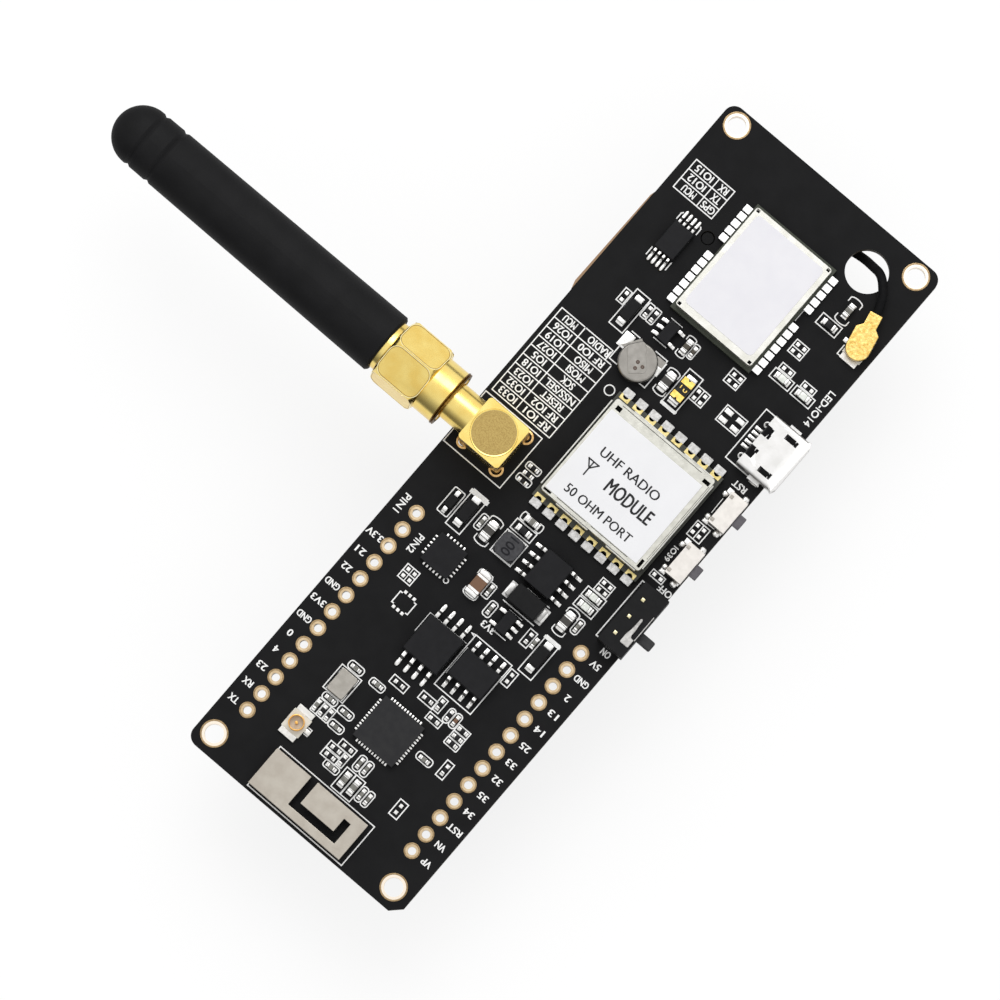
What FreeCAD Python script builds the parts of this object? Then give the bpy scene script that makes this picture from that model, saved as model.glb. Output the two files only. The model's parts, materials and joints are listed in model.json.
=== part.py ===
import FreeCAD, Part
import math
import os

os.makedirs("parts", exist_ok=True)

# Radio development board with a screwed-on whip antenna, two push buttons, a slide switch,
# a satellite receiver, a battery holder underneath and a stamped antenna at the lower end.
# Origin: centre of the four corner holes, on the board's underside. +X towards the buttons,
# +Y towards the satellite receiver, +Z out of the component side. Millimetres.

# Circuit board
board_w = 32.5
board_l = 99.0
board_t = 1.6
board_mid_x = 0.15
board_mid_y = -0.28
board_corner_r = 1.4
board_corner_cut = 1.3
tab_out = 0.35
tab_low_y = 20.3
tab_high_y = 34.4
tab_run = 1.2

board_left = board_mid_x - board_w / 2
board_right = board_mid_x + board_w / 2
board_low = board_mid_y - board_l / 2
board_high = board_mid_y + board_l / 2

# Holes and their plated eyelets
hole_inset_x = 2.4
hole_inset_y = 2.2
corner_hole_r = 1.15
corner_ring_r = 1.65
header_pitch = 2.54
header_count = 13
header_row_gap = 25.4
header_high_y = -12.2
header_hole_r = 0.5
header_ring_r = 0.95
plating_t = 0.08
ring_t = 0.05
cable_hole_x = 9.07
cable_hole_y = 44.05
cable_hole_r = 2.65

corner_dx = (board_w - 2 * hole_inset_x) / 2
corner_dy = (board_l - 2 * hole_inset_y) / 2
header_dx = header_row_gap / 2

# Solder pads and what stands on them
pad_t = 0.05
seat_z = board_t + pad_t
pad_reach = 0.25

# Two-ended parts: length, width, height, length of each metal end
part_sizes = {
    "tiny": (1.0, 0.5, 0.4, 0.25),
    "small": (1.6, 0.8, 0.75, 0.35),
    "middle": (2.0, 1.25, 0.9, 0.4),
    "large": (3.2, 1.6, 1.3, 0.5),
}

# Capacitors and resistors: size, x, y, and the direction they lie in
capacitors = [
    ("small", 10.45, 39.0, "y"), ("small", -1.3, 23.35, "y"), ("tiny", -0.33, 23.4, "y"),
    ("middle", -0.4, 18.7, "y"), ("tiny", -6.2, -8.0, "y"), ("middle", -4.85, -8.3, "y"),
    ("small", -1.65, -4.2, "x"), ("middle", 8.95, -10.55, "y"), ("tiny", 10.4, -10.1, "y"),
    ("large", -1.7, -13.9, "y"), ("tiny", -0.25, -13.55, "y"), ("tiny", 1.25, -15.15, "y"),
    ("tiny", -6.2, -30.7, "x"), ("tiny", -3.0, -30.55, "x"), ("tiny", -6.15, -35.4, "x"),
    ("tiny", -3.65, -35.5, "x"), ("tiny", -3.5, -37.45, "x"), ("tiny", 6.85, -33.65, "x"),
    ("tiny", 1.42, -38.85, "y"), ("tiny", 2.45, -38.85, "y"), ("small", 1.28, -41.5, "y"),
    ("small", 2.72, -41.5, "y"), ("tiny", 3.92, -41.5, "y"), ("tiny", 4.88, -41.5, "y"),
    ("tiny", 6.7, -27.8, "y"), ("tiny", -0.85, -41.4, "x"), ("tiny", -6.9, -36.95, "y"),
    ("tiny", 7.8, -14.85, "y"),
]
resistors = [
    ("small", 9.8, 36.25, "x"), ("tiny", -7.5, 23.6, "y"), ("tiny", -6.55, 23.6, "y"),
    ("tiny", -5.65, -1.25, "x"), ("tiny", -5.65, -0.25, "x"), ("tiny", -5.65, 0.75, "x"),
    ("tiny", 6.9, -14.85, "y"), ("tiny", -1.15, -28.8, "x"), ("tiny", 2.6, -28.05, "x"),
    ("tiny", 4.08, -27.55, "y"), ("tiny", 4.7, -29.4, "x"), ("tiny", 5.72, -27.8, "y"),
    ("tiny", 8.15, -28.2, "x"), ("tiny", 8.15, -29.2, "x"), ("tiny", 8.15, -30.15, "x"),
    ("tiny", 9.5, -33.0, "y"), ("tiny", -5.95, -36.95, "y"), ("tiny", -5.05, -36.95, "y"),
    ("tiny", -0.85, -38.45, "x"), ("tiny", -1.8, -39.45, "x"), ("tiny", -1.8, -40.5, "x"),
    ("tiny", -0.35, -39.9, "y"), ("small", -1.75, -5.65, "x"),
]
leds = [
    ("small", 9.72, 27.8, "x"), ("small", 12.92, 27.8, "x"),
    ("small", 9.6, -6.28, "x"), ("small", 9.6, -7.75, "x"),
]
# Empty places: centre and how their pads lie
bare_places = [
    (8.95, 31.68, "square"), (9.5, 28.95, "row"), (12.78, 28.95, "row"), (-10.8, 23.2, "column"),
    (5.55, 24.1, "square"), (3.7, 19.85, "square"), (13.85, 7.7, "square"), (13.7, 0.48, "row"),
    (9.85, -4.6, "square"), (-8.65, -18.3, "square"), (8.35, -40.0, "column"), (8.25, -19.88, "column"),
]
bare_pad = 0.45
bare_pitch = 0.95
six_pad_x = -6.95
six_pad_y = -21.2
six_pad_gap_y = 2.2
six_pad_pitch = 0.65
six_pad_w = 0.4
four_pad_x = 8.38
four_pad_y = 20.2
four_pad_gap_x = 1.75
four_pad_gap_y = 1.15
four_pad_l = 1.05
four_pad_w = 0.6

# Leads on one side, their pitch and width, in the three kinds of chip with bent leads
wide_count = 4
wide_pitch = 1.27
wide_lead_w = 0.42
thin_count = 4
thin_pitch = 0.65
thin_lead_w = 0.3
five_lead_count = 3
five_lead_pitch = 0.95
five_lead_w = 0.4

# Moulded chips with bent leads: centre, body size along x and y, height, leads, how far the
# feet reach out, the direction they point in, and the side that has no middle lead
wide_leads = (wide_count, wide_pitch, wide_lead_w)
thin_leads = (thin_count, thin_pitch, thin_lead_w)
five_leads = (five_lead_count, five_lead_pitch, five_lead_w)
memory_shape = (4.82, -22.3, 5.2, 3.9, 1.5, wide_leads, 1.25, "y", None)
flash_shape = (-1.05, -22.75, 5.3, 5.3, 1.8, wide_leads, 1.5, "y", None)
charger_shape = (3.8, -7.65, 3.9, 4.9, 1.5, wide_leads, 1.25, "x", None)
amplifier_shape = (-10.6, 32.0, 3.0, 4.1, 1.0, thin_leads, 1.2, "y", None)
converter_shapes = [
    (-4.0, 23.2, 1.6, 2.9, 1.1, five_leads, 0.65, "x", "high"),
    (3.75, -15.25, 1.6, 2.9, 1.1, five_leads, 0.65, "x", "low"),
]
lead_t = 0.2
lead_foot_share = 0.55
mould_draft = 0.12

# Leadless chips: centre, side, height, pads on each side, pitch
processor_count = 12
usb_bridge_count = 6
processor_shape = (1.57, -33.85, 6.0, 0.85, processor_count, 0.4)
usb_bridge_shape = (-6.95, -13.95, 4.0, 0.85, usb_bridge_count, 0.5)
edge_pad_w = 0.22
edge_pad_out = 0.35

# Diodes: centre, body width, body length, height, lead width, lead reach, direction
power_diode_shape = (4.0, -11.88, 2.7, 4.2, 2.1, 1.5, 0.55, "x")
small_diode_shapes = [
    (-9.18, 22.35, 1.6, 2.7, 1.1, 1.0, 0.5, "y"),
    (-8.3, -8.2, 1.6, 2.7, 1.1, 1.0, 0.5, "y"),
    (-10.48, -8.55, 1.25, 1.7, 0.9, 0.5, 0.5, "y"),
    (9.3, -15.75, 1.6, 2.7, 1.1, 1.0, 0.5, "y"),
]
diode_strip_t = 0.15

# Inductor, tantalum capacitor, crystal
inductor_x = -1.8
inductor_y = -8.25
inductor_side = 3.0
inductor_h = 1.2
inductor_corner = 0.45
inductor_pad_w = 2.7
inductor_pad_l = 0.9
inductor_pad_gap = 2.14
tantalum_x = 1.68
tantalum_y = 19.1
tantalum_w = 1.6
tantalum_l = 2.9
tantalum_h = 1.6
tantalum_foot_w = 1.28
tantalum_foot_l = 0.7
crystal_x = -6.2
crystal_y = -33.15
crystal_w = 2.4
crystal_l = 3.2
crystal_h = 0.8
crystal_corner = 0.3
crystal_pad_w = 0.9
crystal_pad_l = 1.0
crystal_pad_gap_x = 1.6
crystal_pad_gap_y = 2.14

# Coin cell with welded strips
cell_x = -4.45
cell_y = 18.15
cell_r = 2.4
cell_h = 1.2
cell_lift = 0.3
cell_edge_r = 0.25
strip_t = 0.15
strip_w = 2.0
strip_shift = 0.2
strip_weld_reach = 1.44
strip_low_reach = 1.2
strip_foot_x = -7.25
strip_low_foot_x = -2.4
strip_foot_l = 1.1

# Radio module
radio_x = 4.15
radio_y = 6.27
radio_side = 16.0
radio_t = 0.8
radio_lift = 0.1
radio_pitch = 2.0
radio_pad_count = 8
radio_pad_w = 1.3
radio_pad_in = 0.65
radio_notch_r = 0.4
radio_solder_out = 1.15
radio_solder_h = 0.55
solder_toe_share = 0.25
solder_crest_share = 0.3
shield_l = 15.1
shield_w = 14.0
shield_h = 2.1
shield_wall = 0.2
shield_corner_r = 0.35
label_w = 14.2
label_l = 12.1
label_t = 0.1
label_shift_x = -0.35
label_shift_y = -0.15
radio_chip_side = 4.0
radio_chip_h = 0.9
radio_crystal_l = 3.2
radio_crystal_w = 2.5
radio_crystal_h = 0.75
radio_crystal_dx = 4.6

# Satellite receiver module
receiver_x = 0.2
receiver_y = 33.72
receiver_w = 12.2
receiver_l = 16.0
receiver_t = 0.8
receiver_h = 2.4
receiver_can_w = 11.55
receiver_can_l = 15.0
receiver_can_wall = 0.2
receiver_pad_pitch = 1.1
receiver_pad_w = 0.85
receiver_pad_out = 0.95
receiver_pad_counts = (5, 7)
receiver_upper_row = 6.75
receiver_lower_row = -0.45
receiver_solder_h = 0.64
receiver_label_w = 8.6
receiver_label_l = 11.4
receiver_label_t = 0.08
receiver_chip_side = 5.0
receiver_chip_h = 0.85

# Micro USB socket, mouth past the board's right edge
usb_y = 20.2
usb_w = 7.4
usb_h = 2.6
usb_depth = 5.6
usb_out = 1.25
usb_wall = 0.3
usb_flare = 0.25
usb_flare_l = 0.6
usb_corner = 0.9
usb_tongue_w = 3.7
usb_tongue_t = 0.6
usb_tongue_l = 3.9
usb_tongue_up = 1.3
usb_rear_t = 0.8
usb_seat_gap = 0.02
usb_pin_count = 5
usb_pin_pitch = 0.65
usb_pin_w = 0.3
usb_pin_t = 0.4
usb_pin_reach = 0.8
usb_pad_w = 0.42
usb_pad_gap = 0.05
usb_strip_t = 0.1
usb_strip_l = 3.3
usb_slot_l = 1.4
usb_slot_w = 0.7
usb_slot_back = 3.14
usb_slot_gap_y = 4.94
usb_rear_slot_gap_y = 2.96
usb_ear_l = 1.6
usb_ear_out = 0.4
usb_ear_inset = 1.5

# Push buttons on the right edge
button_case_w = 2.35
button_case_l = 4.6
button_case_h = 1.65
button_case_wall = 0.25
button_edge_gap = 0.1
button_reset_y = 11.5
button_user_y = 3.7
plunger_w = 1.65
plunger_h = 0.9
plunger_out = 1.05
plunger_in = 1.2
plunger_travel = 0.25
plunger_gap = 0.05
plunger_collar = 0.25
button_foot_w = 0.75
button_foot_back = 0.25
button_foot_front = 0.48
button_foot_in = 0.1

# Slide switch on the right edge
switch_y = -5.45
switch_l = 8.7
switch_w = 3.7
switch_h = 3.5
switch_out = 0.4
switch_wall = 0.5
switch_pin_pitch = 2.5
switch_pin_w = 0.45
switch_pin_up = 0.12
switch_pin_down = 0.6
switch_pin_back = 1.2
switch_frame_t = 0.25
switch_frame_w = 1.35
switch_frame_low = 2.95
switch_frame_high = 1.0
switch_frame_arm = 0.7
switch_frame_foot = 1.3
knob_w = 1.3
knob_h = 1.3
knob_out = 1.9
knob_gap = 0.05
knob_collar = 0.5
knob_rest_shift = -1.0
knob_travel = 2.0

# Right-angle antenna connector at the left edge
connector_inset = 4.6
connector_y = 0.4
axis_h = 3.7
block_side = 6.1
block_h = 6.7
block_corner = 0.45
cap_r = 2.8
cap_floor_gap = 0.1
cap_proud = 0.06
cap_ledge = 0.4
neck_r = 2.45
neck_l = 3.5
thread_r = 3.1
thread_l = 5.9
barrel_bore_r = 2.05
leg_pitch = 5.08
leg_r = 0.5
leg_l = 1.5
leg_hole_r = 0.62
contact_r = 0.64
contact_bore_r = 0.5
pin_r = 0.46
pin_reach = 2.6
pin_end_gap = 0.3
cut_over = 0.1

# Whip antenna
nut_gap = 0.15
nut_overlap = 0.15
nut_flats = 7.94
nut_turn_at_rest = 8.5
nut_hex_l = 6.15
nut_collar_l = 2.3
nut_collar_r = 3.66
nut_chamfer = 0.85
nut_chamfer_drop = 0.47
nut_thread_play = 0.07
nut_back_wall = 1.3
nut_cone = 0.45
nut_cone_drop = 0.15
nut_cone_over = 0.02
ferrule_play = 0.07
ferrule_neck_r = 2.4
ferrule_flange_r = 2.75
ferrule_flange_l = 1.0
ferrule_ring_r = 3.3
ferrule_ring_l = 0.6
ferrule_shank_r = 2.6
ferrule_shank_l = 6.0
ferrule_bore_r = 1.95
ferrule_face_gap = 0.03
sleeve_base_r = 3.95
sleeve_tip_r = 3.75
sleeve_l = 41.6
sleeve_wall_end = 2.2
sleeve_edge = 0.25
groove_first = 4.4
groove_second = 7.4
groove_w = 0.8
groove_depth = 0.22
coil_r = 2.2
coil_wire_r = 0.35
coil_turns = 12
coil_play = 0.1
coil_start_gap = 0.3
coil_end_gap = 2.15
coil_room = sleeve_l - sleeve_tip_r - sleeve_wall_end - ferrule_shank_l - coil_play
coil_l = coil_room - 2 * coil_wire_r - coil_start_gap - coil_end_gap

# Micro coax sockets, plug and lead of the patch antenna
bare_socket_x = -7.3
bare_socket_y = -40.1
socket_x = 14.2
socket_y = 36.2
socket_side = 2.6
socket_base_h = 0.35
socket_ring_r = 0.98
socket_ring_wall = 0.15
socket_h = 1.25
socket_pin_r = 0.2
socket_pin_low = 0.2
socket_signal_w = 0.6
socket_lug_w = 2.3
socket_lug_l = 0.75
plug_turn = 12.0
plug_r = 1.5
plug_wall = 0.2
plug_h = 1.15
plug_lift = 0.75
plug_body_l = 2.9
plug_throat_l = 0.6
plug_neck_w = 1.65
plug_neck_l = 1.7
plug_neck_h = 1.35
lead_r = 0.56
lead_route = [
    (12.55, 42.75, 2.85), (10.75, 44.75, 2.5), (7.6, 45.35, -1.0), (4.7, 44.9, -1.3),
]

# Patch antenna on the underside
patch_side = 12.0
patch_h = 4.0
patch_foot_gap = 0.4
patch_corner_r = 0.4
patch_foil_inset = 1.2
patch_foil_t = 0.05
patch_foil_corner_r = 0.3
patch_feed_r = 0.5
patch_feed_h = 0.2
patch_feed_shift = 1.5
patch_lead_shift = 1.43
patch_lead_z = -1.45

# Stamped antenna at the lower end
stamped_x = -0.05
stamped_w = 14.0
stamped_l = 5.3
stamped_edge = 0.7
stamped_lift = 1.1
stamped_t = 0.2
stamped_slot_w = 1.0
stamped_slot_x = -1.8
stamped_slot_low = 1.1
stamped_slot_high = 4.05
stamped_slot_end = 5.3
stamped_leg_w = 1.4

# Battery holder on the underside
holder_w = 20.8
holder_l = 77.5
holder_h = 14.8
holder_high_y = 36.9
holder_patch_gap = 0.17
holder_side = 1.1
holder_end = 2.0
holder_floor = 1.3
holder_notch_l = 22.0
holder_notch_h = 5.0
peg_x = -7.8
peg_inset = 2.03
peg_r = 0.8
peg_play = 0.05
peg_short = 0.25
contact_w = 8.0
contact_t = 0.4
contact_up = 11.5
contact_foot = 1.5
contact_foot_w = 1.8
contact_play = 0.1
spring_out = 2.6
spring_mid = 5.75
spring_flat_in = 0.58
spring_flat_out = 0.95
spring_fold = 0.6
spring_tip_out = 0.88
spring_tip_drop = 1.2
spring_tip_slant = 0.24
tab_bump_r = 2.2
tab_bump_out = 0.8
tab_bump_down = 8.9

# The patch antenna lies at the board's upper end, beside the contact's foot, and the battery
# holder ends below it
patch_x = contact_w / 2 - contact_foot_w - patch_foot_gap - patch_side / 2
patch_y = holder_high_y + holder_patch_gap + patch_side / 2
holder_low_y = holder_high_y - holder_l
holder_y = (holder_low_y + holder_high_y) / 2
peg_y = holder_high_y - peg_inset


def vec(x, y, z):
    return FreeCAD.Vector(x, y, z)


def block(x0, x1, y0, y1, z0, z1):
    return Part.makeBox(x1 - x0, y1 - y0, z1 - z0, vec(x0, y0, z0))


def block_at(x, y, w, l, z0, z1):
    return block(x - w / 2, x + w / 2, y - l / 2, y + l / 2, z0, z1)


def rounded_plate(x, y, w, l, z0, z1, r):
    """A block whose four upright corners are round."""
    plate = block_at(x, y, w, l, z0, z1)
    upright = [e for e in plate.Edges if abs(e.Vertexes[0].Z - e.Vertexes[-1].Z) > (z1 - z0) / 2]
    return plate.makeFillet(r, upright)


def rod(x, y, r, z0, z1):
    return Part.makeCylinder(r, z1 - z0, vec(x, y, z0))


def rod_along_x(x0, x1, y, z, r):
    return Part.makeCylinder(r, abs(x1 - x0), vec(min(x0, x1), y, z), vec(1, 0, 0))


def prism(points, thickness_vector):
    """Straight-sided piece: a closed outline pushed along a vector."""
    corners = [vec(*p) for p in points]
    outline = Part.makePolygon(corners + corners[:1])
    return Part.Face(outline).extrude(thickness_vector)


def turned(points, x, y, z, direction):
    """Piece turned on a lathe: points are (distance along the axis, radius)."""
    corners = [vec(a, 0, r) for a, r in points]
    face = Part.Face(Part.makePolygon(corners + corners[:1]))
    piece = face.revolve(vec(0, 0, 0), vec(1, 0, 0), 360)
    spin = FreeCAD.Rotation(vec(1, 0, 0), direction)
    piece.Placement = FreeCAD.Placement(vec(x, y, z), spin)
    return piece


def save(name, pieces):
    shape = pieces if isinstance(pieces, Part.Shape) else Part.makeCompound(list(pieces))
    shape.exportStep("parts/" + name + ".step")


def corner_points():
    return [(sx * corner_dx, sy * corner_dy) for sx in (-1, 1) for sy in (-1, 1)]


def header_points():
    rows = [header_high_y - i * header_pitch for i in range(header_count)]
    return [(side * header_dx, y) for side in (-1, 1) for y in rows]


connector_x = board_left + connector_inset
axis_z = board_t + axis_h


def leg_points():
    half = leg_pitch / 2
    return [(connector_x + sx * half, connector_y + sy * half) for sx in (-1, 1) for sy in (-1, 1)]


switch_front_x = board_right + switch_out
switch_back_x = switch_front_x - switch_w
switch_pin_x = switch_back_x + switch_pin_back
switch_chamber_x = switch_pin_x + switch_pin_w / 2 + switch_wall
switch_top = board_t + switch_h


def switch_pin_points():
    return [(switch_pin_x, switch_y + i * switch_pin_pitch) for i in (-1, 0, 1)]


def circuit_board():
    left, right, low, high = board_left, board_right, board_low, board_high
    r, cut = board_corner_r, board_corner_cut
    slant = r * (1 - math.sqrt(0.5))
    edges = []

    def line(p, q):
        edges.append(Part.LineSegment(vec(*p, 0), vec(*q, 0)).toShape())

    def arc(p, q, s):
        edges.append(Part.Arc(vec(*p, 0), vec(*q, 0), vec(*s, 0)).toShape())

    line((left + r, low), (right - cut, low))
    line((right - cut, low), (right, low + cut))
    line((right, low + cut), (right, high - r))
    arc((right, high - r), (right - slant, high - slant), (right - r, high))
    line((right - r, high), (left + r, high))
    arc((left + r, high), (left + slant, high - slant), (left, high - r))
    line((left, high - r), (left, tab_high_y + tab_run / 2))
    line((left, tab_high_y + tab_run / 2), (left - tab_out / 2, tab_high_y))
    line((left - tab_out / 2, tab_high_y), (left - tab_out, tab_low_y + tab_run / 2))
    line((left - tab_out, tab_low_y + tab_run / 2), (left, tab_low_y - tab_run / 2))
    line((left, tab_low_y - tab_run / 2), (left, low + r))
    arc((left, low + r), (left + slant, low + slant), (left + r, low))
    board = Part.Face(Part.Wire(edges)).extrude(vec(0, 0, board_t))
    holes = [rod(x, y, corner_hole_r + plating_t, 0, board_t) for x, y in corner_points()]
    holes += [rod(x, y, header_hole_r + plating_t, 0, board_t) for x, y in header_points()]
    holes += [rod(x, y, leg_hole_r, 0, board_t) for x, y in leg_points()]
    holes.append(rod(connector_x, connector_y, leg_hole_r, 0, board_t))
    holes.append(rod(cable_hole_x, cable_hole_y, cable_hole_r, 0, board_t))
    holes.append(rod(peg_x, peg_y, peg_r + peg_play, 0, board_t))
    holes += [rod(x, y, switch_pin_w, 0, board_t) for x, y in switch_pin_points()]
    return board.cut(holes)


def eyelet(x, y, hole_r, ring_r):
    outer = hole_r + plating_t
    profile = [
        (-ring_t, hole_r), (-ring_t, ring_r), (0, ring_r), (0, outer),
        (board_t, outer), (board_t, ring_r), (board_t + ring_t, ring_r), (board_t + ring_t, hole_r),
    ]
    return turned(profile, x, y, 0, vec(0, 0, 1))


def plated_eyelets():
    eyelets = [eyelet(x, y, corner_hole_r, corner_ring_r) for x, y in corner_points()]
    return eyelets + [eyelet(x, y, header_hole_r, header_ring_r) for x, y in header_points()]


def two_ended(size, x, y, along):
    """Body and two metal ends of a part that lies on two pads."""
    length, width, height, end = part_sizes[size]
    inner = length / 2 - end
    z0, z1 = seat_z, seat_z + height
    body = block(-inner, inner, -width / 2, width / 2, z0, z1)
    ends = [
        block(inner, length / 2, -width / 2, width / 2, z0, z1),
        block(-length / 2, -inner, -width / 2, width / 2, z0, z1),
    ]
    return [placed(shape, x, y, along) for shape in [body] + ends]


def placed(shape, x, y, along):
    return turned_to(shape, x, y, 0, 90 if along == "y" else 0)


def turned_to(piece, x, y, z, angle):
    """The piece as made at the origin, turned about the upright axis and moved to its place."""
    spot = FreeCAD.Placement(vec(x, y, z), FreeCAD.Rotation(vec(0, 0, 1), angle))
    piece.Placement = spot.multiply(piece.Placement)
    return piece


def side_angle(way, side):
    """Direction of a side: 1 is the high side along x or y, and -1 the low one."""
    return (0 if way == "x" else 90) + (0 if side > 0 else 180)


def two_ended_bodies(rows):
    return [two_ended(*row)[0] for row in rows]


def component_ends():
    ends = []
    for row in capacitors + resistors + leds:
        ends += two_ended(*row)[1:]
    return ends


def two_ended_pads(size, x, y, along):
    length, width, height, end = part_sizes[size]
    inner = length / 2 - end
    outer = length / 2 + pad_reach
    pads = [
        block(inner, outer, -width / 2, width / 2, board_t, seat_z),
        block(-outer, -inner, -width / 2, width / 2, board_t, seat_z),
    ]
    return [placed(pad, x, y, along) for pad in pads]


def bare_pads(x, y, layout):
    half = bare_pitch / 2
    columns = (0,) if layout == "column" else (-half, half)
    rows = (0,) if layout == "row" else (-half, half)
    return [
        block_at(x + dx, y + dy, bare_pad, bare_pad, board_t, seat_z)
        for dx in columns for dy in rows
    ]


def moulded_body(x, y, w, l, z0, z1):
    """Plastic body whose sides slope in above and below its middle."""
    middle = (z0 + z1) / 2
    sections = []
    for z, d in ((z0, mould_draft), (middle, 0), (z1, mould_draft)):
        x0, x1, y0, y1 = x - w / 2 + d, x + w / 2 - d, y - l / 2 + d, y + l / 2 - d
        corners = [vec(x0, y0, z), vec(x1, y0, z), vec(x1, y1, z), vec(x0, y1, z)]
        sections.append(Part.makePolygon(corners + corners[:1]))
    return Part.makeLoft(sections, True, True)


def chip_body(shape):
    x, y, w, l, h = shape[:5]
    return moulded_body(x, y, w, l, seat_z + lead_t / 2, seat_z + h)


def lead_places(shape):
    """Place along its side, and the side, of each lead."""
    count, pitch, width = shape[5]
    short_side = {"high": 1, "low": -1, None: 0}[shape[8]]
    places = []
    for side in (1, -1):
        steps = [(i - (count - 1) / 2) * pitch for i in range(count)]
        places += [(step, side) for step in steps if side != short_side or step]
    return places


def bent_lead(shape, step, side):
    """Strip that leaves the body at mid height, drops and ends in a flat foot."""
    x, y, w, l, h, leads, reach, way, short_side = shape
    width = leads[2]
    half = (w if way == "x" else l) / 2
    foot = reach * lead_foot_share
    bend = half + reach - foot
    mid = seat_z + (lead_t / 2 + h) / 2
    low = seat_z
    profile = [
        (half, 0, mid - lead_t / 2), (bend, 0, mid - lead_t / 2), (bend, 0, low),
        (half + reach, 0, low), (half + reach, 0, low + lead_t),
        (bend + lead_t, 0, low + lead_t), (bend + lead_t, 0, mid + lead_t / 2),
        (half, 0, mid + lead_t / 2),
    ]
    lead = prism(profile, vec(0, width, 0))
    lead.translate(vec(0, step - width / 2, 0))
    return turned_to(lead, x, y, 0, side_angle(way, side))


def leaded_shapes():
    return [memory_shape, flash_shape, charger_shape, amplifier_shape] + converter_shapes


def chip_leads():
    leads = []
    for shape in leaded_shapes():
        leads += [bent_lead(shape, step, side) for step, side in lead_places(shape)]
    for shape in [power_diode_shape] + small_diode_shapes:
        leads += [diode_strip(shape, side) for side in (1, -1)]
    leads += [tantalum_foot(side) for side in (1, -1)]
    return leads


def lead_pads(shape):
    x, y, w, l, h, leads, reach, way, short_side = shape
    width = leads[2]
    half = (w if way == "x" else l) / 2
    inner = half + reach * (1 - lead_foot_share) - pad_reach / 2
    outer = half + reach + pad_reach
    pads = []
    for step, side in lead_places(shape):
        pad = block(inner, outer, step - width / 2, step + width / 2, board_t, seat_z)
        pads.append(turned_to(pad, x, y, 0, side_angle(way, side)))
    return pads


def leadless_chip(shape):
    x, y, side, h = shape[:4]
    return block_at(x, y, side, side, seat_z, seat_z + h)


def leadless_pads(shape):
    x, y, side, h, count, pitch = shape
    inner = side / 2 - edge_pad_out
    outer = side / 2 + edge_pad_out
    pads = []
    for i in range(count):
        step = (i - (count - 1) / 2) * pitch
        for angle in (0, 90, 180, 270):
            pad = block(inner, outer, step - edge_pad_w / 2, step + edge_pad_w / 2, board_t, seat_z)
            pads.append(turned_to(pad, x, y, 0, angle))
    return pads


def diode_body(shape):
    x, y, w, l, h, lead_w, reach, way = shape
    z0 = seat_z + diode_strip_t
    if way == "x":
        return moulded_body(x, y, l, w, z0, seat_z + h)
    return moulded_body(x, y, w, l, z0, seat_z + h)


def diode_strip(shape, side):
    """Flat strip that comes out at mid height and folds down under the end."""
    x, y, w, l, h, lead_w, reach, way = shape
    t = diode_strip_t
    mid = seat_z + (t + h) / 2
    out = l / 2 + reach
    profile = [
        (l / 2, 0, mid - t / 2), (out - t, 0, mid - t / 2), (out - t, 0, seat_z + t),
        (l / 2 - reach, 0, seat_z + t), (l / 2 - reach, 0, seat_z), (out, 0, seat_z),
        (out, 0, mid + t / 2), (l / 2, 0, mid + t / 2),
    ]
    strip = prism(profile, vec(0, lead_w, 0))
    strip.translate(vec(0, -lead_w / 2, 0))
    return turned_to(strip, x, y, 0, side_angle(way, side))


def diode_pads(shape):
    x, y, w, l, h, lead_w, reach, way = shape
    a0, a1 = l / 2 - reach, l / 2 + reach + pad_reach
    pads = [
        block(a0, a1, -lead_w / 2, lead_w / 2, board_t, seat_z),
        block(-a1, -a0, -lead_w / 2, lead_w / 2, board_t, seat_z),
    ]
    return [placed(pad, x, y, way) for pad in pads]


def inductor():
    x, y, side = inductor_x, inductor_y, inductor_side
    return rounded_plate(x, y, side, side, seat_z, seat_z + inductor_h, inductor_corner)


def tantalum_capacitor():
    low, high = seat_z + diode_strip_t, seat_z + tantalum_h
    return moulded_body(tantalum_x, tantalum_y, tantalum_w, tantalum_l, low, high)


def tantalum_shape():
    place = (tantalum_x, tantalum_y, tantalum_w, tantalum_l, tantalum_h)
    return place + (tantalum_foot_w, tantalum_foot_l / 2, "y")


def tantalum_foot(side):
    return diode_strip(tantalum_shape(), side)


def crystal():
    high = seat_z + crystal_h
    return rounded_plate(crystal_x, crystal_y, crystal_w, crystal_l, seat_z, high, crystal_corner)


def crystal_pads():
    dx, dy = crystal_pad_gap_x / 2, crystal_pad_gap_y / 2
    places = [(crystal_x + sx * dx, crystal_y + sy * dy) for sx in (-1, 1) for sy in (-1, 1)]
    return [block_at(x, y, crystal_pad_w, crystal_pad_l, board_t, seat_z) for x, y in places]


def inductor_pads():
    places = [inductor_y + s * inductor_pad_gap / 2 for s in (-1, 1)]
    return [block_at(inductor_x, y, inductor_pad_w, inductor_pad_l, board_t, seat_z) for y in places]


cell_low = seat_z + cell_lift
cell_high = cell_low + cell_h


def coin_cell():
    cell = rod(cell_x, cell_y, cell_r, cell_low, cell_high)
    rims = [e for e in cell.Edges if isinstance(e.Curve, Part.Circle)]
    return cell.makeFillet(cell_edge_r, rims)


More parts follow.
